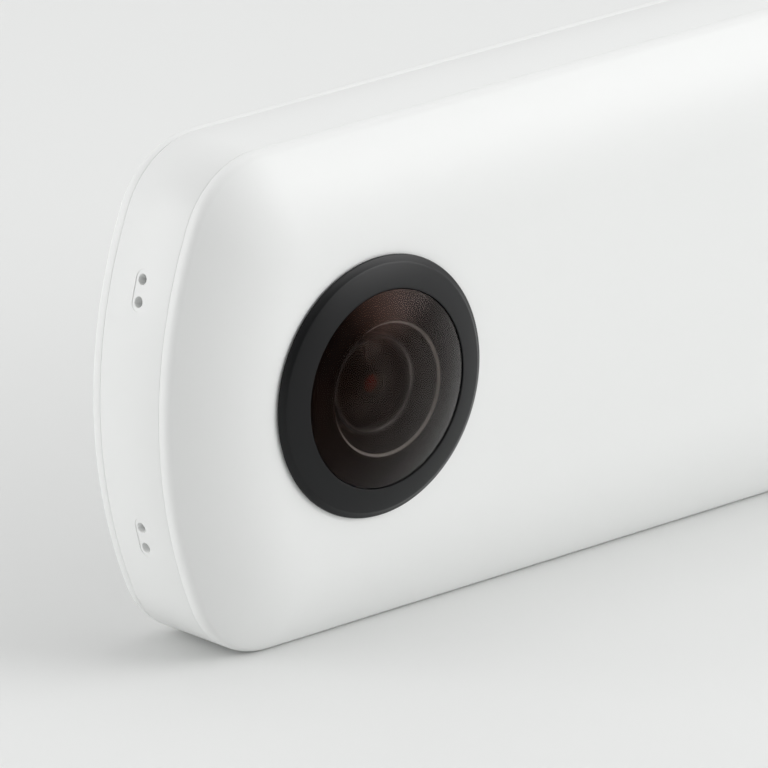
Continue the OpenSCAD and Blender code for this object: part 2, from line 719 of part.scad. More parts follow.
module main_board() color("#1f5c38") difference() {
    brick([board_x0, board_x1], [board_y0, board_y], [-board_w / 2, board_w / 2]);
    for (x = boss_xs) for (s = [-1, 1])
        rod_y(x, s * boss_z, [board_y0 - eps, board_y + eps], screw_r + fit_gap);
}

module board_screws() color("silver") for (x = boss_xs) for (s = [-1, 1])
    screw_y(x, s * boss_z, board_y, board_t + board_gap, 1);

module processor_chip() color("#222224") {
    x0 = shutter_x + chip_x - chip_w / 2;
    brick([x0, x0 + chip_w], [board_y0 - chip_t, board_y0], [-chip_w / 2, chip_w / 2]);
}

module thermal_pad() color("#b9b3c4") {
    x0 = shutter_x + chip_x - chip_w / 2;
    brick([x0, x0 + chip_w], [plate_y, board_y0 - chip_t], [-chip_w / 2, chip_w / 2]);
}

// Folded tin box, open towards the board, below the row of lamps
module shield_can() color("#b8bcc0") {
    x0 = shutter_x - can_x - can_l / 2;
    z1 = -led_w / 2 - fit_gap;
    difference() {
        brick([x0, x0 + can_l], [board_y, board_y + can_h], [z1 - can_w, z1]);
        brick([x0 + can_wall, x0 + can_l - can_wall], [board_y - eps, board_y + can_h - can_wall],
            [z1 - can_w + can_wall, z1 - can_wall]);
    }
}

module memory_chip() color("#2a2a2c") {
    x0 = shutter_x + chip_x - memory_l / 2;
    z0 = led_w;
    brick([x0, x0 + memory_l], [board_y, board_y + memory_t], [z0, z0 + memory_w]);
}

module radio_module() color("#a9adb2") {
    x0 = board_x1 - radio_from_end - radio_l / 2;
    brick([x0, x0 + radio_l], [board_y, board_y + radio_h], [-led_w - radio_w, -led_w]);
}

module antenna() color("#c9a24a") {
    x1 = lug_xs[1] - lug_l / 2 - antenna_gap;
    brick([x1 - antenna_l, x1], [plate_y + fit_gap, plate_y + fit_gap + antenna_w],
        [inner_z - antenna_t, inner_z]);
}

module side_key_board() color("#1f5c38")
    translate([key_xs[1] - key_board_end, -key_board_w / 2, key_board_z])
        cube([2 * key_board_end, key_board_w, key_board_t]);

module side_switches() color("#3a3a3c") for (x = key_xs)
    translate([x, 0, side_switch_z]) difference() {
        translate([-side_switch_l / 2, -side_switch_w / 2, 0])
            cube([side_switch_l, side_switch_w, side_switch_h]);
        ring([-eps, side_plunger_depth], side_plunger_r + key_gap);
    }

// Side key with its flange behind the band's wall
module side_key(x) color("#e4e6e6") translate([x, 0, 0]) {
    translate([0, 0, key_sunk]) linear_extrude(key_back_z - key_sunk) oblong(key_l, key_w);
    translate([0, 0, key_flange_z]) linear_extrude(flange_t)
        oblong(key_l + 2 * (key_gap + flange_w), key_w + 2 * (key_gap + flange_w));
}
module power_button() side_key(key_xs[0]);
module wireless_button() side_key(key_xs[1]);
module mode_button() side_key(key_xs[2]);

module side_plunger(x) color("#c8b08a") translate([x, 0, 0])
    ring([key_back_z, side_switch_z + side_plunger_depth - key_travel - key_gap], side_plunger_r);
module power_plunger() side_plunger(key_xs[0]);
module wireless_plunger() side_plunger(key_xs[1]);
module mode_plunger() side_plunger(key_xs[2]);

module shutter_button() color("#d9dbdb") facing(front, shutter_x) {
    ring([shutter_flange_y, face_y + shutter_proud], shutter_r);
    ring([shutter_flange_y, shutter_flange_y + flange_t], shutter_hole_r + flange_w);
    ring([shutter_stem_y, shutter_flange_y], plunger_r + flange_w);
}

module shutter_ring() color("#aeb2b5") facing(front, shutter_x)
    ring([inner_y, face_y + fit_gap], shutter_ring_r, shutter_hole_r);

module shutter_switch() color("#3a3a3c") facing(front, shutter_x) difference() {
    translate([-switch_w / 2, -switch_w / 2, board_y]) cube([switch_w, switch_w, switch_h]);
    ring([board_y + switch_h - plunger_depth, board_y + switch_h + eps], plunger_r + key_gap);
}

module shutter_plunger() color("#c8b08a") facing(front, shutter_x)
    ring([board_y + switch_h - plunger_depth + shutter_travel + key_gap, shutter_stem_y], plunger_r);

module indicator_lamps() color("#cfe6ee") for (x = lamp_xs)
    rod_y(x, 0, [board_y + led_h + fit_gap, face_y], lamp_r);

module lamp_leds() color("#f3e9c0") for (x = lamp_xs)
    brick([x - led_w / 2, x + led_w / 2], [board_y, board_y + led_h], [-led_w / 2, led_w / 2]);

module mic_boots() color("#1b1b1c") for (s = [-1, 1]) difference() {
    on_lens_end(s * mic_a) translate([-boot_w / 2, -mic_w / 2, boot_r])
        cube([boot_w, mic_w, boot_t]);
    for (t = [-1, 1]) on_lens_end(s * mic_a + t * mic_step_a)
        ring([boot_r - eps, mic_in + eps], mic_hole_r);
}

module microphones() color("#b9a26a") for (s = [-1, 1])
    on_lens_end(s * mic_a) translate([-mic_w / 2, -mic_w / 2, boot_r - mic_t])
        cube([mic_w, mic_w, mic_t]);

module speaker() color("#2b2b2e")
    brick([speaker_x0, speaker_x0 + speaker_l], [-plate_y - speaker_t, -plate_y],
        [port_z - speaker_w / 2, port_z + speaker_w / 2]);

// Round-ended outline of the data socket, grown by g
module usb_outline(g) rotate(90) oblong(usb_w + 2 * g, usb_h + 2 * g);

module usb_socket() color("#b5babd")
    translate([insert_x0, 0, half_w - port_z]) rotate([90, 0, 90]) difference() {
        linear_extrude(half_l - nose_sunk - insert_x0) usb_outline(0);
        translate([0, 0, usb_wall]) linear_extrude(half_l) usb_outline(-usb_wall);
    }

module usb_tongue() color("#1c1c1e")
    translate([insert_x0 + usb_wall, -tongue_t / 2, half_w - port_z - tongue_w / 2])
        cube([tongue_l, tongue_t, tongue_w]);

module tripod_insert() color("#b9bdc0") translate([0, 0, half_w]) rotate([0, 90, 0]) difference() {
    union() {
        ring([insert_x0, base_in], collar_r);
        ring([insert_x0, half_l - nose_sunk], nose_r);
    }
    ring([half_l - nose_sunk - thread_l, half_l], thread_r);
}

rear_cover();
front_cover();
frame_band();
rear_bezel();
front_bezel();
rear_dome_lens();
front_dome_lens();
rear_lens_seal();
front_lens_seal();
rear_inner_ring();
front_inner_ring();
rear_inner_lens();
front_inner_lens();
rear_lens_barrel();
front_lens_barrel();
optical_block();
rear_prism();
front_prism();
rear_relay_lens();
front_relay_lens();
rear_sensor();
front_sensor();
rear_sensor_board();
front_sensor_board();
sensor_screws();
lens_unit_screws();
rear_sensor_flex();
front_sensor_flex();
chassis_plate();
chassis_screws();
battery_cell();
battery_connector();
main_board();
board_screws();
processor_chip();
thermal_pad();
shield_can();
memory_chip();
radio_module();
antenna();
side_key_board();
side_switches();
power_button();
wireless_button();
mode_button();
power_plunger();
wireless_plunger();
mode_plunger();
shutter_button();
shutter_ring();
shutter_switch();
shutter_plunger();
indicator_lamps();
lamp_leds();
mic_boots();
microphones();
speaker();
usb_socket();
usb_tongue();
tripod_insert();
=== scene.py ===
# Slim 360 degree camera with a wide-angle lens on each face, lying on its key side.
import math

import bmesh
import bpy
from mathutils import Matrix, Vector


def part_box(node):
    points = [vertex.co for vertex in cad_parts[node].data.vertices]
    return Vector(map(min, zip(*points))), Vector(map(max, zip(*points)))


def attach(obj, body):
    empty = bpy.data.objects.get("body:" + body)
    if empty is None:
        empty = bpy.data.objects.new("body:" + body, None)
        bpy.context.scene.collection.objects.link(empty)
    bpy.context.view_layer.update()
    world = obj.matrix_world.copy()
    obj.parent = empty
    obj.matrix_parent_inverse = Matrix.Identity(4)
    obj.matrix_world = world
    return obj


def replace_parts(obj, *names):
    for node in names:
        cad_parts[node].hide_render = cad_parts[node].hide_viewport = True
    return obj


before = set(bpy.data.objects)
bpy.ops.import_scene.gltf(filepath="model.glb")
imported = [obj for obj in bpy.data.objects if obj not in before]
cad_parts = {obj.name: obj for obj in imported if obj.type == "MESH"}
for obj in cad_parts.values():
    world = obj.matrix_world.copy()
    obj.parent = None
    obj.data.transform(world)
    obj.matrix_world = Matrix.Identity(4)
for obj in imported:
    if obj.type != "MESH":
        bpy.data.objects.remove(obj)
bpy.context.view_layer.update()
mm = 0.001
scene = bpy.context.scene
scene.view_settings.view_transform = "Standard"

# Viewpoint: a long lens about a metre away, a little above the object and off its lens end,
# so that the lens end, the plain side on top and the rear face all show.
bezel_low, bezel_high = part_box("rear_bezel")
lens_x = (bezel_low.x + bezel_high.x) / 2 / mm
lens_z = (bezel_low.z + bezel_high.z) / 2 / mm
face_y = 8.1
eye_round = -42.31
eye_above = 18.57
eye_lean = -0.37
eye_away = 1000
aim_right = 0.556
aim_up = 0.147
eye = bpy.data.objects.new("viewpoint", bpy.data.cameras.new("viewpoint"))
scene.collection.objects.link(eye)
scene.camera = eye
eye.data.sensor_width = 36
eye.data.lens = 543.2
eye.data.clip_start = 0.05
eye.data.clip_end = 20
eye_turn = Matrix.Rotation(math.radians(eye_round), 3, "Z")
eye_turn = eye_turn @ Matrix.Rotation(math.radians(90 - eye_above), 3, "X")
eye_turn = eye_turn @ Matrix.Rotation(math.radians(eye_lean), 3, "Z")
eye_aim = Vector((lens_x, -face_y, lens_z)) + eye_turn @ Vector((aim_right, aim_up, 0))
eye_place = (eye_aim + eye_turn @ Vector((0, 0, eye_away))) * mm
eye.matrix_world = Matrix.Translation(eye_place) @ eye_turn.to_4x4()


# Chassis: a stamped aluminium plate, deburred and left bare, that carries the lens unit, the board
# and the battery. Small plated steel screws hold it to the frame band, and the rest to it.
def linear(code):
    """Linear colour of an sRGB hex value."""
    parts = [int(code[i:i + 2], 16) / 255 for i in (1, 3, 5)]
    return [p / 12.92 if p <= 0.04045 else ((p + 0.055) / 1.055) ** 2.4 for p in parts] + [1]


def material(name, **sockets):
    """New material with these values on its shader's own sockets, and its node tree and shader."""
    made = bpy.data.materials.new(name)
    made.use_nodes = True
    shader = made.node_tree.nodes["Principled BSDF"]
    for socket, value in sockets.items():
        shader.inputs[socket.replace("_", " ")].default_value = value
    return made, made.node_tree, shader


def feed(target, links):
    """Feeds a node's sockets from (node, output) pairs."""
    for socket, (source, output) in links.items():
        start = next(s for s in source.outputs if s.name == output and s.enabled)
        end = next(s for s in target.inputs if s.name == socket and s.enabled)
        target.id_data.links.new(start, end)


def add(tree, kind, values=None, links=None, **settings):
    """Adds a node with its settings, the values of its sockets and the links that feed them."""
    made = tree.nodes.new("ShaderNode" + kind)
    for name, value in settings.items():
        setattr(made, name, value)
    for socket, value in (values or {}).items():
        next(s for s in made.inputs if s.name == socket and s.enabled).default_value = value
    feed(made, links or {})
    return made


def dress(finish, *nodes):
    """Gives CAD nodes a finish."""
    for name in nodes:
        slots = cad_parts[name].data.materials
        slots.clear()
        slots.append(finish)


# Rolled aluminium sheet: fine drawn lines along the plate, with the soft sheen of bare metal
rolled_aluminium, tree, shader = material(
    "rolled_aluminium", Base_Color=linear("#b4b7bb"), Metallic=1, Roughness=0.36)
place = add(tree, "TexCoord")
stretch = add(tree, "Mapping", {"Scale": (0.04, 1, 1)}, {"Vector": (place, "Object")})
lines = add(tree, "TexNoise", {"Scale": 1 / (0.25 * mm), "Detail": 3}, {"Vector": (stretch, "Vector")})
sheen = add(tree, "MapRange", {"To Min": 0.28, "To Max": 0.48}, {"Value": (lines, "Fac")})
relief = add(tree, "Bump", {"Distance": 0.002 * mm}, {"Height": (lines, "Fac")})
feed(shader, {"Roughness": (sheen, "Result"), "Normal": (relief, "Normal")})
dress(rolled_aluminium, "chassis_plate")

# Bright plated steel: nearly mirror-like, with faint cloudy handling marks about 2 mm across
plated_steel, tree, shader = material(
    "plated_steel", Base_Color=linear("#c9cbcd"), Metallic=1, Roughness=0.2)
place = add(tree, "TexCoord")
clouds = add(tree, "TexNoise", {"Scale": 1 / (2 * mm), "Detail": 4}, {"Vector": (place, "Object")})
sheen = add(tree, "MapRange", {"To Min": 0.14, "To Max": 0.32}, {"Value": (clouds, "Fac")})
feed(shader, {"Roughness": (sheen, "Result")})
dress(plated_steel, "chassis_screws", "lens_unit_screws", "sensor_screws", "board_screws", "shield_can")


# Battery: a flat lithium cell in a heat-sealed pouch of printed film, bonded to the chassis by tape,
# with a moulded nylon plug for its two leads.
# Pouch film: a dull blue metallic wrap that puckers slightly over the cell's edges
pouch_film, tree, shader = material(
    "pouch_film", Base_Color=linear("#5c7699"), Metallic=0.6, Roughness=0.38)
place = add(tree, "TexCoord")
puckers = add(tree, "TexNoise", {"Scale": 1 / (4 * mm), "Detail": 3}, {"Vector": (place, "Object")})
shades = add(tree, "Mix", {"A": linear("#536d90"), "B": linear("#6d86a6")}, {"Factor": (puckers, "Fac")},
             data_type="RGBA")
relief = add(tree, "Bump", {"Distance": 0.06 * mm}, {"Height": (puckers, "Fac")})
feed(shader, {"Base Color": (shades, "Result"), "Normal": (relief, "Normal")})
dress(pouch_film, "battery_cell")

# Natural nylon: a warm cream moulding with a faint cloudiness
natural_nylon, tree, shader = material(
    "natural_nylon", Base_Color=linear("#d8d2bc"), Roughness=0.45, IOR=1.53)
place = add(tree, "TexCoord")
clouds = add(tree, "TexNoise", {"Scale": 1 / (1.5 * mm)}, {"Vector": (place, "Object")})
shades = add(tree, "Mix", {"A": linear("#d2ccb4"), "B": linear("#dfdac8")}, {"Factor": (clouds, "Fac")},
             data_type="RGBA")
feed(shader, {"Base Color": (shades, "Result")})
dress(natural_nylon, "battery_connector")


# Boards: glass-fibre laminate under green solder mask, with soldered parts, a folded tin shield,
# a soft pad that leads the processor's heat to the chassis, and a foil antenna on the frame band.
# Solder mask: glossy green, paler over the copper tracks that run about every 0.6 mm
solder_mask, tree, shader = material(
    "solder_mask", Base_Color=linear("#1f5c38"), Roughness=0.3, IOR=1.55)
place = add(tree, "TexCoord")
tracks = add(tree, "TexBrick",
             {"Scale": 1, "Brick Width": 5 * mm, "Row Height": 0.6 * mm, "Mortar Size": 0.12 * mm,
              "Color1": linear("#1c5333"), "Color2": linear("#22663e"), "Mortar": linear("#2f7d4d")},
             {"Vector": (place, "Object")})
relief = add(tree, "Bump", {"Distance": 0.01 * mm}, {"Height": (tracks, "Fac")})
feed(shader, {"Base Color": (tracks, "Color"), "Normal": (relief, "Normal")})
dress(solder_mask, "main_board", "side_key_board", "rear_sensor_board", "front_sensor_board")

# Moulded epoxy: matt black with the fine grain of its mould, about 0.1 mm
moulded_epoxy, tree, shader = material(
    "moulded_epoxy", Base_Color=linear("#29292b"), Roughness=0.55, IOR=1.55)
place = add(tree, "TexCoord")
grain = add(tree, "TexNoise", {"Scale": 1 / (0.1 * mm), "Detail": 2}, {"Vector": (place, "Object")})
relief = add(tree, "Bump", {"Distance": 0.006 * mm}, {"Height": (grain, "Fac")})
feed(shader, {"Normal": (relief, "Normal")})
dress(moulded_epoxy, "processor_chip", "memory_chip", "shutter_switch", "side_switches")

# Tin-plated shield over the radio: grey and slightly cloudy
tinned_sheet, tree, shader = material(
    "tinned_sheet", Base_Color=linear("#b1b5b9"), Metallic=1, Roughness=0.4)
place = add(tree, "TexCoord")
clouds = add(tree, "TexNoise", {"Scale": 1 / (1.2 * mm), "Detail": 5}, {"Vector": (place, "Object")})
sheen = add(tree, "MapRange", {"To Min": 0.3, "To Max": 0.5}, {"Value": (clouds, "Fac")})
feed(shader, {"Roughness": (sheen, "Result")})
dress(tinned_sheet, "radio_module")

# Filled silicone pad: matt lilac grey, dotted by its ceramic filler
filled_silicone, tree, shader = material(
    "filled_silicone", Base_Color=linear("#b3adbd"), Roughness=0.8, IOR=1.43)
place = add(tree, "TexCoord")
filler = add(tree, "TexVoronoi", {"Scale": 1 / (0.2 * mm)}, {"Vector": (place, "Object")})
shades = add(tree, "Mix", {"A": linear("#bdb8c6"), "B": linear("#a29cae")}, {"Factor": (filler, "Distance")},
             data_type="RGBA")
feed(shader, {"Base Color": (shades, "Result")})
dress(filled_silicone, "thermal_pad")

# Etched copper foil under a gold flash: bright yellow metal with etched edges
gold_foil, tree, shader = material(
    "gold_foil", Base_Color=linear("#d3ac58"), Metallic=1, Roughness=0.3)
place = add(tree, "TexCoord")
clouds = add(tree, "TexNoise", {"Scale": 1 / (0.8 * mm)}, {"Vector": (place, "Object")})
sheen = add(tree, "MapRange", {"To Min": 0.22, "To Max": 0.4}, {"Value": (clouds, "Fac")})
feed(shader, {"Roughness": (sheen, "Result")})
dress(gold_foil, "antenna")

# Polyimide film: clear amber over copper conductors about 0.5 mm apart
polyimide_film, tree, shader = material(
    "polyimide_film", Base_Color=linear("#c07a30"), Roughness=0.28, IOR=1.7)
place = add(tree, "TexCoord")
tracks = add(tree, "TexWave", {"Scale": 1 / (10 * mm)}, {"Vector": (place, "Object")}, bands_direction="Y")
shades = add(tree, "Mix", {"A": linear("#b06c26"), "B": linear("#cf8c42")}, {"Factor": (tracks, "Fac")},
             data_type="RGBA")
feed(shader, {"Base Color": (shades, "Result")})
dress(polyimide_film, "rear_sensor_flex", "front_sensor_flex")

# Light source packages: pale ceramic with a yellow phosphor fill
phosphor, tree, shader = material("phosphor", Base_Color=linear("#f0e6b8"), Roughness=0.6)
place = add(tree, "TexCoord")
grains = add(tree, "TexNoise", {"Scale": 1 / (0.15 * mm)}, {"Vector": (place, "Object")})
shades = add(tree, "Mix", {"A": linear("#f3ecca"), "B": linear("#e8d88c")}, {"Factor": (grains, "Fac")},
             data_type="RGBA")
feed(shader, {"Base Color": (shades, "Result")})
dress(phosphor, "lamp_leds")


# Lens unit: a black die-cast block on the lens axis with two prisms back to back. Each turns the
# light of one lens sideways, through a relay lens, to an image sensor on a board of its own.
# Blackened die casting: matt charcoal with a fine blasted grain of about 0.15 mm
blackened_casting, tree, shader = material(
    "blackened_casting", Base_Color=linear("#2c2d30"), Roughness=0.6)
place = add(tree, "TexCoord")
grain = add(tree, "TexNoise", {"Scale": 1 / (0.15 * mm), "Detail": 3}, {"Vector": (place, "Object")})
relief = add(tree, "Bump", {"Distance": 0.01 * mm}, {"Height": (grain, "Fac")})
feed(shader, {"Normal": (relief, "Normal")})
dress(blackened_casting, "optical_block")

# Polished optical glass: clear with a faint cool tint and a trace of residual polish marks
polished_glass, tree, shader = material(
    "polished_glass", Base_Color=linear("#dfe9ea"), Roughness=0.02, IOR=1.62, Transmission_Weight=1)
place = add(tree, "TexCoord")
marks = add(tree, "TexNoise", {"Scale": 1 / (0.6 * mm), "Detail": 4}, {"Vector": (place, "Object")})
sheen = add(tree, "MapRange", {"To Min": 0.01, "To Max": 0.05}, {"Value": (marks, "Fac")})
feed(shader, {"Roughness": (sheen, "Result")})
dress(polished_glass, "rear_prism", "front_prism", "rear_relay_lens", "front_relay_lens")

# Image sensors: a dark chip under cover glass, with the pixel field's blue-green sheen
sensor_glass, tree, shader = material(
    "sensor_glass", Base_Color=linear("#2a4652"), Roughness=0.12, IOR=1.5)
place = add(tree, "TexCoord")
cells = add(tree, "TexChecker",
            {"Scale": 1 / (0.2 * mm), "Color1": linear("#26414e"), "Color2": linear("#31525f")},
            {"Vector": (place, "Object")})
feed(shader, {"Base Color": (cells, "Color")})
dress(sensor_glass, "rear_sensor", "front_sensor")


# Lens barrels: black moulded tubes on the optical block. Each opens towards its dome lens in a smooth
# funnel and holds a thin inner lens under a screwed ring. The inner lens is black over its back and most
# of its front, painted shade for the darkness deep in the lens, and clear only in its middle. In the
# floor is a thin aperture stop round a small red-coated lens.
def eased(profile, setback, steps=4, ends=True):
    """Profile with its corners rounded off over setback, or over what its edges leave room for."""
    made = []
    for i, point in enumerate(profile):
        corner = Vector(point)
        back = Vector(profile[i - 1]) - corner
        ahead = Vector(profile[(i + 1) % len(profile)]) - corner
        reach = min(setback, back.length * 0.45, ahead.length * 0.45)
        if not ends and i in (0, len(profile) - 1):
            made.append(corner)
            continue
        first = corner + back.normalized() * reach
        last = corner + ahead.normalized() * reach
        for k in range(steps + 1):
            t = k / steps
            made.append(first * (1 - t) ** 2 + corner * (2 * t * (1 - t)) + last * t ** 2)
    return made


def skin(name, rings, finishes, loop=False, strips=()):
    """Solid through rings of points in millimetres. A loop joins its last ring to its first, and
    otherwise both ends are capped. strips numbers the finish of the faces after each ring."""
    shape = bmesh.new()
    rows = [[shape.verts.new(Vector(point) * mm) for point in ring] for ring in rings]
    pairs = list(zip(rows, rows[1:] + rows[:1])) if loop else list(zip(rows, rows[1:]))
    for k, (low, high) in enumerate(pairs):
        for i in range(len(low)):
            face = shape.faces.new((low[i - 1], low[i], high[i], high[i - 1]))
            face.material_index = strips[k] if strips else 0
    if not loop:
        shape.faces.new(rows[0])
        shape.faces.new(rows[-1])
    bmesh.ops.remove_doubles(shape, verts=shape.verts, dist=0.00001 * mm)
    bmesh.ops.recalc_face_normals(shape, faces=shape.faces)
    mesh = bpy.data.meshes.new(name)
    shape.to_mesh(mesh)
    shape.free()
    for finish in finishes:
        mesh.materials.append(finish)
    mesh.shade_smooth()
    mesh.set_sharp_from_angle(angle=math.radians(32))
    made = bpy.data.objects.new(name, mesh)
    scene.collection.objects.link(made)
    return made


def turned(name, profile, centre, out, finishes, steps=160, strips=()):
    """Turned solid of a profile of (radius, height), about the direction out from centre."""
    axis = Vector(out)
    across = axis.orthogonal().normalized()
    along = axis.cross(across)
    angles = [2 * math.pi * i / steps for i in range(steps)]
    spokes = [across * math.cos(a) + along * math.sin(a) for a in angles]
    rings = [[Vector(centre) + s * r + axis * h for s in spokes] for r, h in profile]
    return skin(name, rings, finishes, loop=profile[0][0] > 0, strips=strips)


def cap(radius, rim, top, steps=24):
    """Points of a spherical surface from its rim to its top on the axis."""
    sag = top - rim
    ball = (radius ** 2 + sag ** 2) / (2 * sag)
    spread = math.asin(radius / abs(ball))
    turns = [spread * (1 - k / steps) for k in range(steps + 1)]
    return [(abs(ball) * math.sin(t), top - ball + ball * math.cos(t)) for t in turns]


sides = {"rear": (0, -1, 0), "front": (0, 1, 0)}
lens_axis = (lens_x, 0, lens_z)
block_y = 4.8
neck_r = 10.1
barrel_top = 7.9
funnel_floor = 6.2
funnel_r = 6
ring_r = 4.2
ring_top = 7
inner_r = 3.85
inner_edge = ring_r - 0.02
inner_seat = 5.2
inner_front = 6
inner_crown = 1.1
back_r = 3
back_rim = 5.6
back_top = 6.75
light_r = 3.2
stop_r = 0.92
stop_low = 5.03
stop_high = 5.17
stop_lens_r = 0.9
stop_lens_low = 4.9
stop_lens_rim = 6.1
stop_lens_top = 6.7
play = 0.05
barrel_profile = [(light_r, block_y), (neck_r, block_y), (neck_r, barrel_top), (funnel_r, barrel_top),
                  (ring_r + play, funnel_floor), (ring_r + play, inner_seat), (light_r, inner_seat)]
inner_ring_profile = [(inner_r, inner_front), (ring_r, inner_front), (ring_r, ring_top),
                      (inner_r + 0.08, ring_top), (inner_r, ring_top - 0.1)]
inner_lens_profile = cap(back_r, back_rim, back_top, 16)[::-1]
inner_lens_profile += [(inner_edge, inner_seat), (inner_edge, inner_front)]
inner_lens_profile += cap(inner_r - play, inner_front, inner_front + inner_crown)
# From the middle of the back to the middle of the front: clear, black as painted shade, black glass as
# painted shade under the amber coat, clear
inner_lens_strips = [0] * 4 + [1] * 15 + [2] * 17 + [0] * 7
stop_profile = [(stop_r, stop_low), (light_r - play, stop_low),
                (light_r - play, stop_high), (stop_r, stop_high)]
stop_lens_profile = [(0, stop_lens_low), (stop_lens_r, stop_lens_low)]
stop_lens_profile += cap(stop_lens_r, stop_lens_rim, stop_lens_top)

# Black glass-filled moulding: satin, a little warm where light grazes it
barrel_black, tree, shader = material(
    "barrel_black", Base_Color=linear("#060505"), Roughness=0.55, IOR=1.5, Specular_IOR_Level=0.06)
place = add(tree, "TexCoord")
grain = add(tree, "TexNoise", {"Scale": 1 / (0.12 * mm), "Detail": 2}, {"Vector": (place, "Object")})
relief = add(tree, "Bump", {"Distance": 0.003 * mm}, {"Height": (grain, "Fac")})
feed(shader, {"Normal": (relief, "Normal")})

# Black anodised ring: dark violet-grey metal with a soft bright edge
anodised_ring, tree, shader = material(
    "anodised_ring", Base_Color=linear("#201e21"), Metallic=0.7, Roughness=0.36)
place = add(tree, "TexCoord")
grain = add(tree, "TexNoise", {"Scale": 1 / (0.08 * mm)}, {"Vector": (place, "Object")})
sheen = add(tree, "MapRange", {"To Min": 0.3, "To Max": 0.44}, {"Value": (grain, "Fac")})
feed(shader, {"Roughness": (sheen, "Result")})

# Polished chamfer on the ring's inner edge: a thin bright line
polished_chamfer, tree, shader = material(
    "polished_chamfer", Base_Color=linear("#9c9a9b"), Metallic=1, Roughness=0.3)
place = add(tree, "TexCoord")
grain = add(tree, "TexNoise", {"Scale": 1 / (0.05 * mm)}, {"Vector": (place, "Object")})
sheen = add(tree, "MapRange", {"To Min": 0.24, "To Max": 0.36}, {"Value": (grain, "Fac")})
feed(shader, {"Roughness": (sheen, "Result")})

# Coated inner lens: brownish clear glass with the dim amber reflection of its antireflective coat
amber_coated_glass, tree, shader = material(
    "amber_coated_glass", Base_Color=linear("#b09078"), Roughness=0.03, IOR=1.42, Transmission_Weight=1,
    Specular_Tint=linear("#3c2616"))
place = add(tree, "TexCoord")
marks = add(tree, "TexNoise", {"Scale": 1 / (0.9 * mm), "Detail": 3}, {"Vector": (place, "Object")})
sheen = add(tree, "MapRange", {"To Min": 0.02, "To Max": 0.06}, {"Value": (marks, "Fac")})
feed(shader, {"Roughness": (sheen, "Result")})

# The same lens where it is made black as painted shade for the darkness deep in the lens: black glass with
# the same amber reflection
painted_shade_inner_glass, tree, shader = material(
    "painted_shade_inner_glass", Base_Color=linear("#050404"), Roughness=0.05, IOR=1.42,
    Specular_Tint=linear("#3c2616"))
place = add(tree, "TexCoord")
marks = add(tree, "TexNoise", {"Scale": 1 / (0.9 * mm), "Detail": 3}, {"Vector": (place, "Object")})
sheen = add(tree, "MapRange", {"To Min": 0.02, "To Max": 0.06}, {"Value": (marks, "Fac")})
feed(shader, {"Roughness": (sheen, "Result")})

# Coated stop lens: a small red glint deep in the lens
red_coated_glass, tree, shader = material(
    "red_coated_glass", Base_Color=linear("#941c1b"), Roughness=0.05, IOR=1.8,
    Specular_Tint=linear("#e02a28"))
place = add(tree, "TexCoord")
marks = add(tree, "TexNoise", {"Scale": 1 / (0.4 * mm)}, {"Vector": (place, "Object")})
sheen = add(tree, "MapRange", {"To Min": 0.03, "To Max": 0.09}, {"Value": (marks, "Fac")})
feed(shader, {"Roughness": (sheen, "Result")})

for side, out in sides.items():
    barrel = turned(side + "_barrel_tube", eased(barrel_profile, 0.06), lens_axis, out, [barrel_black])
    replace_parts(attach(barrel, "camera_body"), side + "_lens_barrel")
    retainer = turned(side + "_retaining_ring", inner_ring_profile, lens_axis, out,
                      [anodised_ring, polished_chamfer], strips=[0, 0, 0, 1, 0])
    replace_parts(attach(retainer, "camera_body"), side + "_inner_ring")
    # The inner glass is black on its back, side and outer front as painted shade, and clear only in the
    # middle
    inner = turned(side + "_inner_glass", inner_lens_profile, lens_axis, out,
                   [amber_coated_glass, barrel_black, painted_shade_inner_glass], strips=inner_lens_strips)
    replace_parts(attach(inner, "camera_body"), side + "_inner_lens")
    stop = turned(side + "_aperture_stop", stop_profile, lens_axis, out, [barrel_black])
    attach(stop, "camera_body")
    stop_lens = turned(side + "_stop_lens", stop_lens_profile, lens_axis, out, [red_coated_glass], steps=64)
    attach(stop_lens, "camera_body")


# Frame band: the moulded white band round the middle, one piece with four screw lugs and two posts
# inside. It is bored for the microphones, the side keys, the sockets and the speaker.
def arc(centre_x, centre_z, radius, start, stop, steps):
    """Points of an arc between two angles in degrees."""
    angles = [math.radians(start + (stop - start) * i / steps) for i in range(steps + 1)]
    return [(centre_x + radius * math.cos(a), centre_z + radius * math.sin(a)) for a in angles]


def outline(inset):
    """Body outline seen along the lens axis, drawn in by inset, as (x, height above the axis)."""
    half = body_w / 2 - inset
    end = end_r - inset
    corner = max(corner_r - 0.6 * inset, 2)
    base = max(base_r - 0.6 * inset, 2)
    end_x = end_r - body_l / 2
    corner_z = half - corner
    corner_x = end_x - math.sqrt((end - corner) ** 2 - corner_z ** 2)
    turn = math.degrees(math.atan2(corner_z, end_x - corner_x))
    base_x = body_l / 2 - inset - base
    step = 2 * turn / 64
    return (arc(corner_x, corner_z, corner, 90, 180 - turn, 24)
            + arc(end_x, 0, end, 180 - turn + step, 180 + turn - step, 62)
            + arc(corner_x, -corner_z, corner, 180 + turn, 270, 24)
            + arc(base_x, base - half, base, 270, 360, 20)
            + arc(base_x, half - base, base, 0, 90, 20))


def tube(profile, centre, out, steps=48):
    """Cutting or filling tool turned about out, with no finish."""
    return turned("tool", profile, centre, out, [], steps)


def brick(low, high):
    """Filling tool between two corners."""
    (x0, y0, z0), (x1, y1, z1) = low, high
    return skin("tool", [[(x0, y0, z), (x1, y0, z), (x1, y1, z), (x0, y1, z)] for z in (z0, z1)], [])


def oblong(length, width, steps=16):
    """Outline with round ends, along the first of its two coordinates."""
    straight = (length - width) / 2
    return (arc(straight, 0, width / 2, -90, 90, steps)
            + arc(-straight, 0, width / 2, 90, 270, steps))


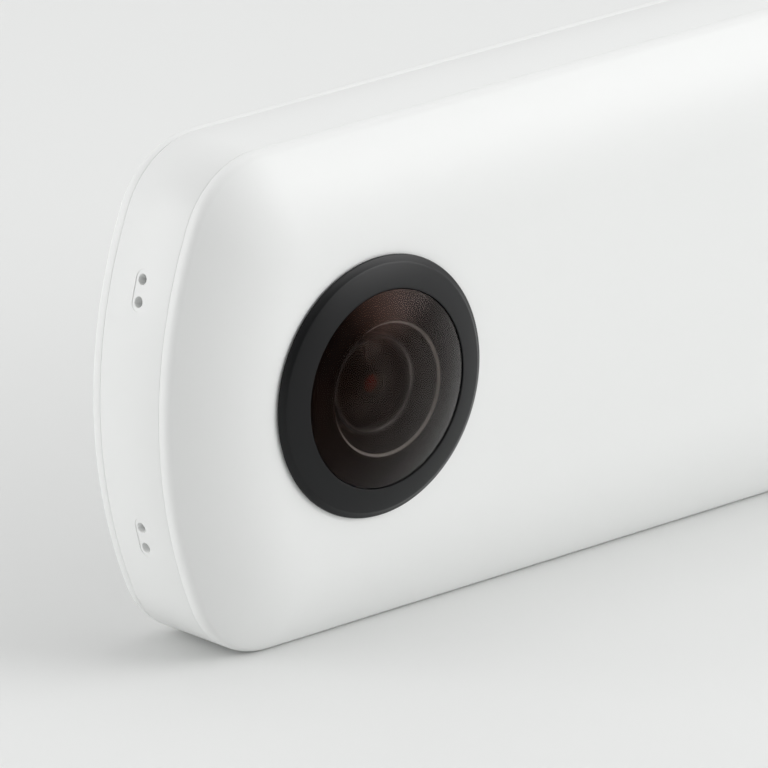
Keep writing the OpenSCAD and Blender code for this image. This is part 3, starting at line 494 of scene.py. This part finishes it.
def worked(piece, operation, tools):
    """Cuts tools out of a piece, or joins them to it, and uses them up."""
    for tool in tools:
        step = piece.modifiers.new("work", "BOOLEAN")
        step.operation = operation
        step.solver = "EXACT"
        step.object = tool
    result = bpy.data.meshes.new_from_object(piece.evaluated_get(bpy.context.evaluated_depsgraph_get()))
    piece.modifiers.clear()
    piece.data = result
    for tool in tools:
        bpy.data.objects.remove(tool)
    result.shade_smooth()
    result.set_sharp_from_angle(angle=math.radians(32))
    return piece


band_low, band_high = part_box("frame_band")
body_l = (band_high.x - band_low.x) / mm
body_w = (band_high.z - band_low.z) / mm
seam_y = band_high.y / mm
end_r = 45
corner_r = 8.5
base_r = 6
band_wall = 1.6
seam_cut = 0.07
seam_ease = 0.02
base_x = body_l / 2
inner_z = body_w / 2 - band_wall
band_profile = [(seam_cut, -seam_y), (seam_ease, -seam_y + seam_ease), (0, -seam_y + seam_cut),
                (0, seam_y - seam_cut), (seam_ease, seam_y - seam_ease), (seam_cut, seam_y),
                (band_wall, seam_y), (band_wall, -seam_y)]
band_rings = [[(x, y, lens_z + z) for x, z in outline(inset)] for inset, y in band_profile]

# Satin white ABS: a fine spark-eroded texture, about 0.2 mm, softens its reflections
satin_white_abs, tree, shader = material(
    "satin_white_abs", Base_Color=linear("#eaebea"), Roughness=0.4, IOR=1.5)
place = add(tree, "TexCoord")
grain = add(tree, "TexNoise", {"Scale": 1 / (0.2 * mm), "Detail": 2}, {"Vector": (place, "Object")})
relief = add(tree, "Bump", {"Distance": 0.002 * mm}, {"Height": (grain, "Fac")})
flow = add(tree, "TexNoise", {"Scale": 1 / (18 * mm)}, {"Vector": (place, "Object")})
shades = add(tree, "Mix", {"A": linear("#e9eae9"), "B": linear("#ebeceb")}, {"Factor": (flow, "Fac")},
             data_type="RGBA")
feed(shader, {"Base Color": (shades, "Result"), "Normal": (relief, "Normal")})

band = skin("frame_band_moulding", band_rings, [satin_white_abs], loop=True)
lug_xs = (-24, 42)
lug_half = 3
lug_low = 0.5
lug_high = 3.4
lug_root = 0.8
lug_reach = 3.6
lug_z = inner_z - lug_reach / 2
key_xs = (-12.7, -2.7, 7.3)
post_x = 15.25
post_half_l = 1
post_half_w = 2.6
post_top = 4.5
fillings = []
for x in lug_xs:
    fillings.append(brick((x - lug_half, lug_low, lens_z + inner_z - lug_reach),
                          (x + lug_half, lug_high, lens_z + inner_z + lug_root)))
    fillings.append(brick((x - lug_half, lug_low, lens_z - inner_z - lug_root),
                          (x + lug_half, lug_high, lens_z - inner_z + lug_reach)))
for x in (key_xs[1] - post_x, key_xs[1] + post_x):
    fillings.append(brick((x - post_half_l, -post_half_w, band_wall / 2),
                          (x + post_half_l, post_half_w, post_top)))
worked(band, "UNION", fillings)
end_x = end_r - base_x
screw_r = 0.8
screw_bore = [(0, -1), (screw_r, -1), (screw_r, lug_high + 0.3), (0, lug_high + 0.3)]
cuttings = []
for x in lug_xs:
    for z in (lens_z + lug_z, lens_z - lug_z):
        cuttings.append(tube(screw_bore, (x, 0, z), (0, 1, 0)))
mic_z = 11.2
mic_apart = 1
mic_r = 0.45
mic_depth = 2.5
dish_l = 3.7
dish_w = 1.5
dish_depth = 0.07
mic_bore = [(0, end_r - mic_depth), (mic_r, end_r - mic_depth), (mic_r, end_r - 0.16),
            (mic_r + 0.15, end_r + 0.1), (0, end_r + 0.1)]
mic_a = math.degrees(math.asin(mic_z / end_r))
mic_step = math.degrees(math.asin(mic_apart / end_r))
for middle in (-mic_a, mic_a):
    turn = math.radians(middle)
    out = Vector((-math.cos(turn), 0, math.sin(turn)))
    along = Vector((math.sin(turn), 0, math.cos(turn)))
    centre = Vector((end_x, 0, lens_z))
    levels = ((end_r - dish_depth, 0), (end_r + 0.2, 0.12))
    dish = [[centre + out * h + along * p + Vector((0, q, 0)) for p, q in oblong(dish_l + g, dish_w + g)]
            for h, g in levels]
    cuttings.append(skin("tool", dish, []))
    for step in (-mic_step, mic_step):
        hole = math.radians(middle + step)
        out_hole = (-math.cos(hole), 0, math.sin(hole))
        cuttings.append(tube(mic_bore, centre, out_hole))
key_slot_l = 6.3
key_slot_w = 2.9
for x in key_xs:
    levels = ((-0.2, 0.3), (0, 0.1), (0.1, 0), (band_wall + 0.3, 0))
    slot = [[(x + p, q, z) for p, q in oblong(key_slot_l + 2 * g, key_slot_w + 2 * g)] for z, g in levels]
    cuttings.append(skin("tool", slot, []))
cut_depth = 2
nose_r = 3.35
nose_hole = [(0, -cut_depth), (nose_r, -cut_depth), (nose_r, -0.12), (nose_r + 0.25, 0.13), (0, 0.13)]
cuttings.append(tube(nose_hole, (base_x, 0, lens_z), (1, 0, 0), 96))
port_z = 12
port_l = 8.8
port_w = 3.2
levels = ((-cut_depth, 0), (-0.12, 0), (0.13, 0.25))
slot = [[(base_x + x, q, lens_z - port_z + p) for p, q in oblong(port_l + 2 * g, port_w + 2 * g)]
        for x, g in levels]
cuttings.append(skin("tool", slot, []))
speaker_r = 0.5
speaker_apart = 2.4
speaker_hole = [(0, -cut_depth), (speaker_r, -cut_depth), (speaker_r, -0.1), (speaker_r + 0.2, 0.1), (0, 0.1)]
for step in (-speaker_apart, 0, speaker_apart):
    cuttings.append(tube(speaker_hole, (base_x, 0, lens_z + port_z + step), (1, 0, 0)))
worked(band, "DIFFERENCE", cuttings)
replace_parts(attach(band, "camera_body"), "frame_band")


# Microphones and speaker: metal-cased capsules in rubber boots behind the lens end's paired holes,
# and a boxed speaker behind the three holes of the base end.
# Black silicone rubber: matt, with a faint bloom
silicone_rubber, tree, shader = material(
    "silicone_rubber", Base_Color=linear("#1d1d1e"), Roughness=0.75, IOR=1.43)
place = add(tree, "TexCoord")
bloom = add(tree, "TexNoise", {"Scale": 1 / (0.8 * mm), "Detail": 3}, {"Vector": (place, "Object")})
shades = add(tree, "Mix", {"A": linear("#19191a"), "B": linear("#252527")}, {"Factor": (bloom, "Fac")},
             data_type="RGBA")
feed(shader, {"Base Color": (shades, "Result")})
dress(silicone_rubber, "mic_boots")

# Gold-plated capsule: soft yellow metal
gold_plate, tree, shader = material(
    "gold_plate", Base_Color=linear("#c8ad72"), Metallic=1, Roughness=0.32)
place = add(tree, "TexCoord")
clouds = add(tree, "TexNoise", {"Scale": 1 / (0.7 * mm)}, {"Vector": (place, "Object")})
sheen = add(tree, "MapRange", {"To Min": 0.25, "To Max": 0.4}, {"Value": (clouds, "Fac")})
feed(shader, {"Roughness": (sheen, "Result")})
dress(gold_plate, "microphones")

# Speaker case: black moulded nylon with a light grain of 0.3 mm
black_nylon, tree, shader = material(
    "black_nylon", Base_Color=linear("#232325"), Roughness=0.5, IOR=1.53)
place = add(tree, "TexCoord")
grain = add(tree, "TexNoise", {"Scale": 1 / (0.3 * mm), "Detail": 2}, {"Vector": (place, "Object")})
relief = add(tree, "Bump", {"Distance": 0.01 * mm}, {"Height": (grain, "Fac")})
feed(shader, {"Normal": (relief, "Normal")})
dress(black_nylon, "speaker")


# Data socket: a drawn stainless shell with rolled lips and, inside it, a black nylon tongue with a
# row of gold-flashed contacts on each face. It is soldered to the board and stands in the base end.
shell_low, shell_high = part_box("usb_socket")
shell_back = shell_low.x / mm
shell_lip = shell_high.x / mm
shell_l = 8.6
shell_w = 3
shell_wall = 0.3
shell_profile = [(0, shell_back), (0, shell_lip), (shell_wall, shell_lip),
                 (shell_wall, shell_back + shell_wall)]
shell_profile = eased(shell_profile, 0.14)
shell_rings = [[(x, q, lens_z - port_z + p) for p, q in oblong(shell_l - 2 * g, shell_w - 2 * g)]
               for g, x in shell_profile]
shell = skin("usb_shell", shell_rings, [plated_steel], loop=True)
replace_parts(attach(shell, "camera_body"), "usb_socket")
tongue_back = shell_back + shell_wall
tongue_half = 3.1
tongue_side = 0.35
levels = ((tongue_back, 0), (tongue_back + 5, 0), (tongue_back + 5.3, 0.1), (tongue_back + 5.4, 0.22))
corners = ((-tongue_half, -tongue_side), (tongue_half, -tongue_side),
           (tongue_half, tongue_side), (-tongue_half, tongue_side))
tongue_rings = [[(x, q - math.copysign(g, q), lens_z - port_z + p - math.copysign(g, p)) for p, q in corners]
                for x, g in levels]
tongue = skin("usb_tongue_moulding", tongue_rings, [black_nylon])
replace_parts(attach(tongue, "camera_body"), "usb_tongue")
contact_apart = 1.1
contact_half = 0.3
contact_rise = 0.04
for face, sign in (("upper", 1), ("lower", -1)):
    strips = []
    for i in range(5):
        z = lens_z - port_z + (i - 2) * contact_apart
        strips.append(brick((tongue_back + 1.2, sign * tongue_side - contact_rise, z - contact_half),
                            (tongue_back + 5, sign * tongue_side + contact_rise, z + contact_half)))
    contacts = strips[0]
    contacts.data.materials.append(gold_foil)
    worked(contacts, "UNION", strips[1:])
    contacts.name = "usb_contacts_" + face
    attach(contacts, "camera_body")


# Tripod insert: a nickel-plated brass bush moulded into the base end, with a quarter-inch thread,
# 20 turns to the inch, and a turned lead-in at its mouth.
insert_low, insert_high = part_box("tripod_insert")
insert_back = insert_low.x / mm
insert_face = insert_high.x / mm
pitch = 1.27
crest_r = 2.6
thread_h = 0.45
thread_from = insert_face - 8
lead_in = 0.35
bush_r = 3.7
bush_nose_r = 3.3
spokes = 72
rows = 100


def thread_radius(x, angle):
    """Radius of the threaded wall, fading out at the lead-in."""
    phase = ((x - thread_from) / pitch - angle / (2 * math.pi)) % 1
    wave = min(1, max(0, 1.6 - abs(phase - 0.5) * 4.2))
    fade = min(1, max(0, (insert_face - lead_in - x) / 0.5)) * min(1, (x - thread_from) / 0.4)
    return crest_r + thread_h * wave * fade


angles = [2 * math.pi * i / spokes for i in range(spokes)]
bush_profile = [(0, insert_back), (bush_r, insert_back), (bush_r, base_x - band_wall),
                (bush_nose_r, base_x - band_wall), (bush_nose_r, insert_face),
                (crest_r + lead_in, insert_face)]
insert_rings = []
for r, x in eased(bush_profile, 0.08, ends=False):
    insert_rings.append([(x, r * math.cos(a), lens_z + r * math.sin(a)) for a in angles])
for k in range(rows + 1):
    x = insert_face - lead_in + (thread_from - insert_face + lead_in) * k / rows
    ring = [(x, thread_radius(x, a) * math.cos(a), lens_z + thread_radius(x, a) * math.sin(a))
            for a in angles]
    insert_rings.append(ring)
insert_rings.append([(thread_from, 0, lens_z) for a in angles])

# Nickel plate over turned brass: warm silver with fine turning rings
turned_nickel, tree, shader = material(
    "turned_nickel", Base_Color=linear("#c3c0b8"), Metallic=1, Roughness=0.26)
place = add(tree, "TexCoord")
squeeze = add(tree, "Mapping", {"Scale": (1, 0.05, 0.05)}, {"Vector": (place, "Object")})
lines = add(tree, "TexNoise", {"Scale": 1 / (0.1 * mm)}, {"Vector": (squeeze, "Vector")})
sheen = add(tree, "MapRange", {"To Min": 0.2, "To Max": 0.36}, {"Value": (lines, "Fac")})
feed(shader, {"Roughness": (sheen, "Result")})
insert = skin("tripod_bush", insert_rings, [turned_nickel])
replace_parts(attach(insert, "camera_body"), "tripod_insert")


# Side keys: three moulded white keys with crowned faces in the key side. Each is held behind the
# band's wall by its flange and presses the plunger of a small switch on a board of their own.
# Satin key plastic: the band's white, a touch cooler and smoother
key_abs, tree, shader = material("key_abs", Base_Color=linear("#e3e6e7"), Roughness=0.34, IOR=1.5)
place = add(tree, "TexCoord")
grain = add(tree, "TexNoise", {"Scale": 1 / (0.15 * mm), "Detail": 2}, {"Vector": (place, "Object")})
relief = add(tree, "Bump", {"Distance": 0.0015 * mm}, {"Height": (grain, "Fac")})
feed(shader, {"Normal": (relief, "Normal")})

# Acetal plungers: tan, waxy and slightly translucent
tan_acetal, tree, shader = material(
    "tan_acetal", Base_Color=linear("#c3a67c"), Roughness=0.35, IOR=1.48)
place = add(tree, "TexCoord")
clouds = add(tree, "TexNoise", {"Scale": 1 / (0.5 * mm)}, {"Vector": (place, "Object")})
shades = add(tree, "Mix", {"A": linear("#bb9c70"), "B": linear("#cdb48e")}, {"Factor": (clouds, "Fac")},
             data_type="RGBA")
feed(shader, {"Base Color": (shades, "Result")})
dress(tan_acetal, "power_plunger", "wireless_plunger", "mode_plunger", "shutter_plunger")

key_l = 6
key_w = 2.6
# Height above the floor and inset of each ring, from the flange to the crown
key_levels = ((2.25, -0.75), (1.75, -0.75), (1.75, 0), (0.34, 0), (0.26, 0.02), (0.2, 0.07), (0.16, 0.15),
              (0.135, 0.28), (0.115, 0.5), (0.1, 0.8))
for key, x in zip(("power", "wireless", "mode"), key_xs):
    rings = [[(x + p, q, z) for p, q in oblong(key_l - 2 * g, key_w - 2 * g)] for z, g in key_levels]
    keycap = skin(key + "_keycap", rings, [key_abs])
    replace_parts(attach(keycap, key + "_key"), key + "_button")


# Covers: two white mouldings with a soft gloss, each a flat face that rolls over to a small rounded
# edge and meets the frame band at a fine seam. They clip into the band from both sides.
roll_w = 10
edge_r = 1.1
edge_y = seam_y + 0.45
cover_wall = 1.4
roll_drop = face_y - edge_y
roll_r = ((roll_w - edge_r) ** 2 + roll_drop ** 2 - edge_r ** 2) / (2 * (roll_drop - edge_r))
roll_y = face_y - roll_r
edge_a = math.atan2(edge_y - roll_y, roll_w - edge_r)
roll_in_r = roll_r - cover_wall
roll_in_a = math.asin((seam_y - roll_y) / roll_in_r)
roll_steps = 24
edge_steps = 10
back_steps = 16
cover_profile = []
for k in range(roll_steps + 1):
    a = math.pi / 2 - (math.pi / 2 - edge_a) * k / roll_steps
    cover_profile.append((roll_w - roll_r * math.cos(a), roll_y + roll_r * math.sin(a)))
for k in range(1, edge_steps + 1):
    a = edge_a * (1 - k / edge_steps)
    cover_profile.append((edge_r - edge_r * math.cos(a), edge_y + edge_r * math.sin(a)))
cover_profile += [(0, seam_y + seam_cut), (seam_ease, seam_y + seam_ease), (seam_cut, seam_y)]
for k in range(back_steps + 1):
    a = roll_in_a + (math.pi / 2 - roll_in_a) * k / back_steps
    back_x = max(cover_wall, roll_w - roll_in_r * math.cos(a))
    cover_profile.append((back_x, roll_y + roll_in_r * math.sin(a)))

# Soft-gloss white polycarbonate: broad mild highlights over a slow orange-peel of about 3 mm
gloss_white, tree, shader = material(
    "gloss_white_polycarbonate", Base_Color=linear("#ecedec"), Roughness=0.41, IOR=1.55,
    Specular_IOR_Level=0.3)
place = add(tree, "TexCoord")
peel = add(tree, "TexNoise", {"Scale": 1 / (3 * mm), "Detail": 1}, {"Vector": (place, "Object")})
relief = add(tree, "Bump", {"Distance": 0.0015 * mm}, {"Height": (peel, "Fac")})
flow = add(tree, "TexNoise", {"Scale": 1 / (25 * mm)}, {"Vector": (place, "Object")})
shades = add(tree, "Mix", {"A": linear("#ebeceb"), "B": linear("#edeeed")}, {"Factor": (flow, "Fac")},
             data_type="RGBA")
sheen = add(tree, "MapRange", {"To Min": 0.38, "To Max": 0.44}, {"Value": (peel, "Fac")})
feed(shader, {"Base Color": (shades, "Result"),
              "Roughness": (sheen, "Result"),
              "Normal": (relief, "Normal")})

shutter_low, shutter_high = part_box("shutter_button")
shutter_x = (shutter_low.x + shutter_high.x) / 2 / mm
shutter_ring_r = 7.15
lamp_xs = (-14, 12, 16)
lamp_hole_r = 0.85
hole_from = 5
hole_to = 9
lens_hole = [(0, hole_from), (neck_r + 0.1, hole_from), (neck_r + 0.1, hole_to), (0, hole_to)]
button_well = [(0, hole_from), (shutter_ring_r + play, hole_from), (shutter_ring_r + play, face_y - 0.12),
               (shutter_ring_r + 0.3, face_y + 0.13), (0, face_y + 0.13)]
lamp_hole = [(0, hole_from), (lamp_hole_r, hole_from), (lamp_hole_r, face_y - 0.08),
             (lamp_hole_r + 0.15, face_y + 0.07), (0, face_y + 0.07)]
for side, out in sides.items():
    sign = out[1]
    rings = [[(x, sign * y, lens_z + z) for x, z in outline(inset)] for inset, y in cover_profile]
    cover = skin(side + "_cover_moulding", rings, [gloss_white])
    holes = [tube(lens_hole, lens_axis, out, 144)]
    if side == "front":
        holes.append(tube(button_well, (shutter_x, 0, lens_z), out, 128))
        for x in lamp_xs:
            holes.append(tube(lamp_hole, (x, 0, lens_z), out))
    worked(cover, "DIFFERENCE", holes)
    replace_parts(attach(cover, "camera_body"), side + "_cover")


# Dome lenses: ground and polished meniscus glasses with an antireflective coat. Their rims are
# inked black, the edge of the hollow is left ground, and each sits on a rubber seal.
dome_r = 8.85
dome_seat = 8.3
dome_rim = 9.3
dome_top = 11.45
hollow_r = 5.5
hollow_top = 8.9
dome_steps = 40
hollow_steps = 32
groove_r = 7.15
groove_h = 0.36
seal_in = 7.35
seal_out = 8.75
seal_top = dome_seat - 0.02
outer_cap = cap(dome_r, dome_rim, dome_top, dome_steps)[::-1]
inner_cap = cap(hollow_r, dome_seat, hollow_top, hollow_steps)
groove = [(groove_r, dome_seat), (hollow_r + 0.3, dome_seat + groove_h), (hollow_r + 0.06, dome_seat)]
dome_profile = outer_cap + [(dome_r, dome_seat)] + groove + inner_cap
# From the middle of the dome to the middle of the hollow: coated, inked, ground, inked, coated
dome_strips = [0] * dome_steps + [1, 1, 1, 2, 1] + [3] * hollow_steps
seal_profile = [(seal_in, barrel_top), (seal_out, barrel_top), (seal_out, seal_top), (seal_in, seal_top)]

# Coated optical glass: a dim, slightly softened reflection, warm brown where it is seen straight on
# and paler towards the rim
coated_dome_glass, tree, shader = material(
    "coated_dome_glass", Base_Color=linear("#dad7d3"), Roughness=0.02, IOR=1.34, Transmission_Weight=1,
    Specular_Tint=linear("#94604a"))
place = add(tree, "TexCoord")
marks = add(tree, "TexNoise", {"Scale": 1 / (1.5 * mm), "Detail": 4}, {"Vector": (place, "Object")})
sheen = add(tree, "MapRange", {"To Min": 0.21, "To Max": 0.25}, {"Value": (marks, "Fac")})
feed(shader, {"Roughness": (sheen, "Result")})

# The hollow's own coat: matched so well to the glass that hardly anything reflects
coated_hollow_glass, tree, shader = material(
    "coated_hollow_glass", Base_Color=linear("#dad7d3"), Roughness=0.02, IOR=1.25, Transmission_Weight=1,
    Specular_Tint=linear("#1c1c1c"))
place = add(tree, "TexCoord")
marks = add(tree, "TexNoise", {"Scale": 1 / (1.5 * mm), "Detail": 4}, {"Vector": (place, "Object")})
sheen = add(tree, "MapRange", {"To Min": 0.05, "To Max": 0.08}, {"Value": (marks, "Fac")})
feed(shader, {"Roughness": (sheen, "Result")})

# Black lens ink: dull, with fine brush marks
lens_ink, tree, shader = material(
    "lens_ink", Base_Color=linear("#060505"), Roughness=0.6, Specular_IOR_Level=0.03)
place = add(tree, "TexCoord")
marks = add(tree, "TexNoise", {"Scale": 1 / (0.3 * mm)}, {"Vector": (place, "Object")})
shades = add(tree, "Mix", {"A": linear("#050404"), "B": linear("#080707")}, {"Factor": (marks, "Fac")},
             data_type="RGBA")
feed(shader, {"Base Color": (shades, "Result")})

# Ground glass edge: a pale frosted line
ground_edge, tree, shader = material("ground_edge", Base_Color=linear("#a29b95"), Roughness=0.5)
place = add(tree, "TexCoord")
marks = add(tree, "TexNoise", {"Scale": 1 / (0.1 * mm)}, {"Vector": (place, "Object")})
shades = add(tree, "Mix", {"A": linear("#958e88"), "B": linear("#aea7a1")}, {"Factor": (marks, "Fac")},
             data_type="RGBA")
feed(shader, {"Base Color": (shades, "Result")})

for side, out in sides.items():
    dome = turned(side + "_dome_glass", dome_profile, lens_axis, out,
                  [coated_dome_glass, lens_ink, ground_edge, coated_hollow_glass], strips=dome_strips)
    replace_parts(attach(dome, "camera_body"), side + "_dome_lens")
    seal = turned(side + "_seal_ring", eased(seal_profile, 0.12), lens_axis, out, [silicone_rubber])
    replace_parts(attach(seal, "camera_body"), side + "_lens_seal")


# Bezels: turned aluminium rings, bead-blasted and anodised black, pressed into the covers round the
# dome lenses. A chamfer runs round the rim, and from it the face rises in a flat cone to the glass.
bezel_r = 11.75
bezel_inner = dome_r + 0.06
bezel_lip = 11.15
bezel_side = 0.2
bezel_rise = 1.27
bezel_slope = 0.2
bezel_round = 0.03
bezel_break = 0.05
bezel_steps = 16
bezel_face = []
for k in range(bezel_steps + 1):
    way = bezel_break + (bezel_lip - bezel_inner - bezel_break) * (1 - k / bezel_steps)
    bezel_face.append((bezel_inner + way, face_y + bezel_rise - bezel_slope * way - bezel_round * way ** 2))
lip_y = bezel_face[0][1]
bezel_chamfer = [(bezel_r, face_y + bezel_side), (bezel_r - 0.06, face_y + bezel_side + 0.14),
                 (bezel_lip + 0.12, lip_y - 0.1), (bezel_lip + 0.05, lip_y - 0.03)]
bezel_foot = bezel_r - 0.18
bezel_foot_h = 0.08
bezel_profile = [(bezel_inner, barrel_top), (neck_r, barrel_top), (neck_r, face_y), (bezel_foot, face_y),
                 (bezel_foot, face_y + bezel_foot_h)]
bezel_profile += bezel_chamfer + bezel_face
bezel_profile += [(bezel_inner + 0.02, face_y + bezel_rise - 0.02), (bezel_inner, face_y + bezel_rise - 0.1)]

# Black anodised aluminium, bead-blasted: a soft charcoal sheen over a grain of about 0.1 mm
black_anodised, tree, shader = material(
    "black_anodised_aluminium", Base_Color=linear("#090a0c"), Roughness=0.36, IOR=1.5,
    Specular_IOR_Level=0.27)
place = add(tree, "TexCoord")
grain = add(tree, "TexNoise", {"Scale": 1 / (0.1 * mm), "Detail": 2}, {"Vector": (place, "Object")})
relief = add(tree, "Bump", {"Distance": 0.002 * mm}, {"Height": (grain, "Fac")})
shades = add(tree, "Mix", {"A": linear("#07080a"), "B": linear("#0b0c0e")}, {"Factor": (grain, "Fac")},
             data_type="RGBA")
feed(shader, {"Base Color": (shades, "Result"), "Normal": (relief, "Normal")})
for side, out in sides.items():
    bezel = turned(side + "_bezel_ring", bezel_profile, lens_axis, out, [black_anodised], steps=200)
    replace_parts(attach(bezel, "camera_body"), side + "_bezel")


# Shutter button: a round white key with a shallow finger dish in a satin metal ring on the front
# face. Its stem presses a switch on the main board.
button_top = face_y + 0.2
button_r = 5.85
stem_r = 1.8
stem_end = 4.95
flange_r = 6.6
flange_low = 6.05
flange_high = 6.55
finger_r = 4.7
finger_depth = 0.16
finger_steps = 12
trim_in = 6
trim_low = 6.7
trim_top = face_y + 0.12
dish = []
for k in range(finger_steps + 1):
    share = k / finger_steps
    dish.append((finger_r * share, button_top - finger_depth * (1 - share ** 2)))
button_profile = [(0, stem_end), (stem_r, stem_end), (stem_r, flange_low), (flange_r, flange_low),
                  (flange_r, flange_high), (button_r, flange_high)]
button_profile += [(button_r, button_top - 0.2), (button_r - 0.04, button_top - 0.09),
                   (button_r - 0.13, button_top - 0.02), (button_r - 0.25, button_top)]
button_profile += dish[::-1]
ring_profile = [(trim_in, trim_low), (shutter_ring_r, trim_low), (shutter_ring_r, face_y + 0.05),
                (shutter_ring_r - 0.12, trim_top), (trim_in + 0.2, trim_top), (trim_in, face_y - 0.1)]

# Satin anodised aluminium: pale silver with fine concentric turning lines
spun_aluminium, tree, shader = material(
    "spun_aluminium", Base_Color=linear("#c6c8ca"), Metallic=1, Roughness=0.3)
place = add(tree, "TexCoord")
centred = add(tree, "Mapping", {"Location": (-shutter_x * mm, 0, -lens_z * mm)},
              {"Vector": (place, "Object")})
lines = add(tree, "TexWave", {"Scale": 1 / (3 * mm), "Distortion": 0.4}, {"Vector": (centred, "Vector")},
            wave_type="RINGS", rings_direction="Y")
sheen = add(tree, "MapRange", {"To Min": 0.24, "To Max": 0.38}, {"Value": (lines, "Fac")})
feed(shader, {"Roughness": (sheen, "Result")})
shutter_axis = (shutter_x, 0, lens_z)
button = turned("shutter_keycap", button_profile, shutter_axis, (0, 1, 0), [key_abs])
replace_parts(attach(button, "shutter"), "shutter_button")
trim = turned("shutter_trim", eased(ring_profile, 0.03), shutter_axis, (0, 1, 0), [spun_aluminium])
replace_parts(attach(trim, "camera_body"), "shutter_ring")


# Indicator lamps: three clear acrylic light pipes in the front face, over light sources on the
# main board, with slightly domed tips.
# Clear acrylic: faintly blue, with a milky core that spreads the light
clear_acrylic, tree, shader = material(
    "clear_acrylic", Base_Color=linear("#d4e6ee"), Roughness=0.1, IOR=1.49, Transmission_Weight=0.7)
place = add(tree, "TexCoord")
clouds = add(tree, "TexNoise", {"Scale": 1 / (0.6 * mm)}, {"Vector": (place, "Object")})
sheen = add(tree, "MapRange", {"To Min": 0.06, "To Max": 0.18}, {"Value": (clouds, "Fac")})
feed(shader, {"Roughness": (sheen, "Result")})
pipe_r = 0.8
pipe_end = 3.9
pipe_profile = [(0, pipe_end), (pipe_r, pipe_end), (pipe_r, face_y - 0.1)]
pipe_profile += cap(pipe_r - 0.02, face_y - 0.06, face_y + 0.04, 8)
for i, x in enumerate(lamp_xs):
    pipe = turned("light_pipe_%d" % (i + 1), pipe_profile, (x, 0, lens_z), (0, 1, 0), [clear_acrylic],
                  steps=48)
    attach(pipe, "camera_body")
    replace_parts(pipe, "indicator_lamps")


# Studio: a plain pale sheet under the object and soft light from the front right, from behind the lens
# end and from above, with a pale room all round. The side where the viewer stands is the dimmest.
floor_mesh = bpy.data.meshes.new("studio_floor")
reach = 4
corners = [(-reach, -reach, 0), (reach, -reach, 0), (reach, reach, 0), (-reach, reach, 0)]
floor_mesh.from_pydata(corners, [], [(0, 1, 2, 3)])
studio_floor = bpy.data.objects.new("studio_floor", floor_mesh)
scene.collection.objects.link(studio_floor)
pale_sheet, tree, shader = material("pale_sheet", Base_Color=linear("#e5e6e5"), Roughness=0.7)
floor_mesh.materials.append(pale_sheet)


lamp_aim = Vector((-0.02, 0, 0.02))


def softbox(name, place, width, height, power):
    """Soft rectangular lamp of a power in watts, at a place in metres, that looks at lamp_aim."""
    lamp = bpy.data.lights.new(name, "AREA")
    lamp.shape = "RECTANGLE"
    lamp.size = width
    lamp.size_y = height
    lamp.energy = power
    made = bpy.data.objects.new(name, lamp)
    made.location = place
    made.visible_camera = False
    made.rotation_euler = (lamp_aim - Vector(place)).to_track_quat("-Z", "Y").to_euler()
    scene.collection.objects.link(made)


softbox("front_softbox", (0.77, -0.76, 0.54), 1.2, 0.8, 6.6)
softbox("window_softbox", (0.72, -0.82, 0.42), 0.5, 0.4, 1.8)
softbox("left_softbox", (-1.5, 0.8, 0.48), 1.4, 1.4, 15)
softbox("top_softbox", (0.3, -0.05, 1.1), 0.9, 0.9, 2.3)
world = bpy.data.worlds.new("studio_light")
scene.world = world
world.use_nodes = True
tree = world.node_tree
place = add(tree, "TexCoord")
facing = add(tree, "VectorMath", None, {"Vector": (place, "Generated")}, operation="DOT_PRODUCT")
viewer_side = (-0.64, -0.7, 0.32)
facing.inputs[1].default_value = viewer_side
shade = add(tree, "MapRange", {"From Min": 0.2, "From Max": 0.95, "To Min": 0, "To Max": 1},
            {"Value": (facing, "Value")}, interpolation_type="SMOOTHSTEP")
sky = add(tree, "Mix", {"A": linear("#c4c4c4"), "B": linear("#7c7c7c")}, {"Factor": (shade, "Result")},
          data_type="RGBA")
backdrop = tree.nodes["Background"]
backdrop.inputs["Strength"].default_value = 1.26
feed(backdrop, {"Color": (sky, "Result")})
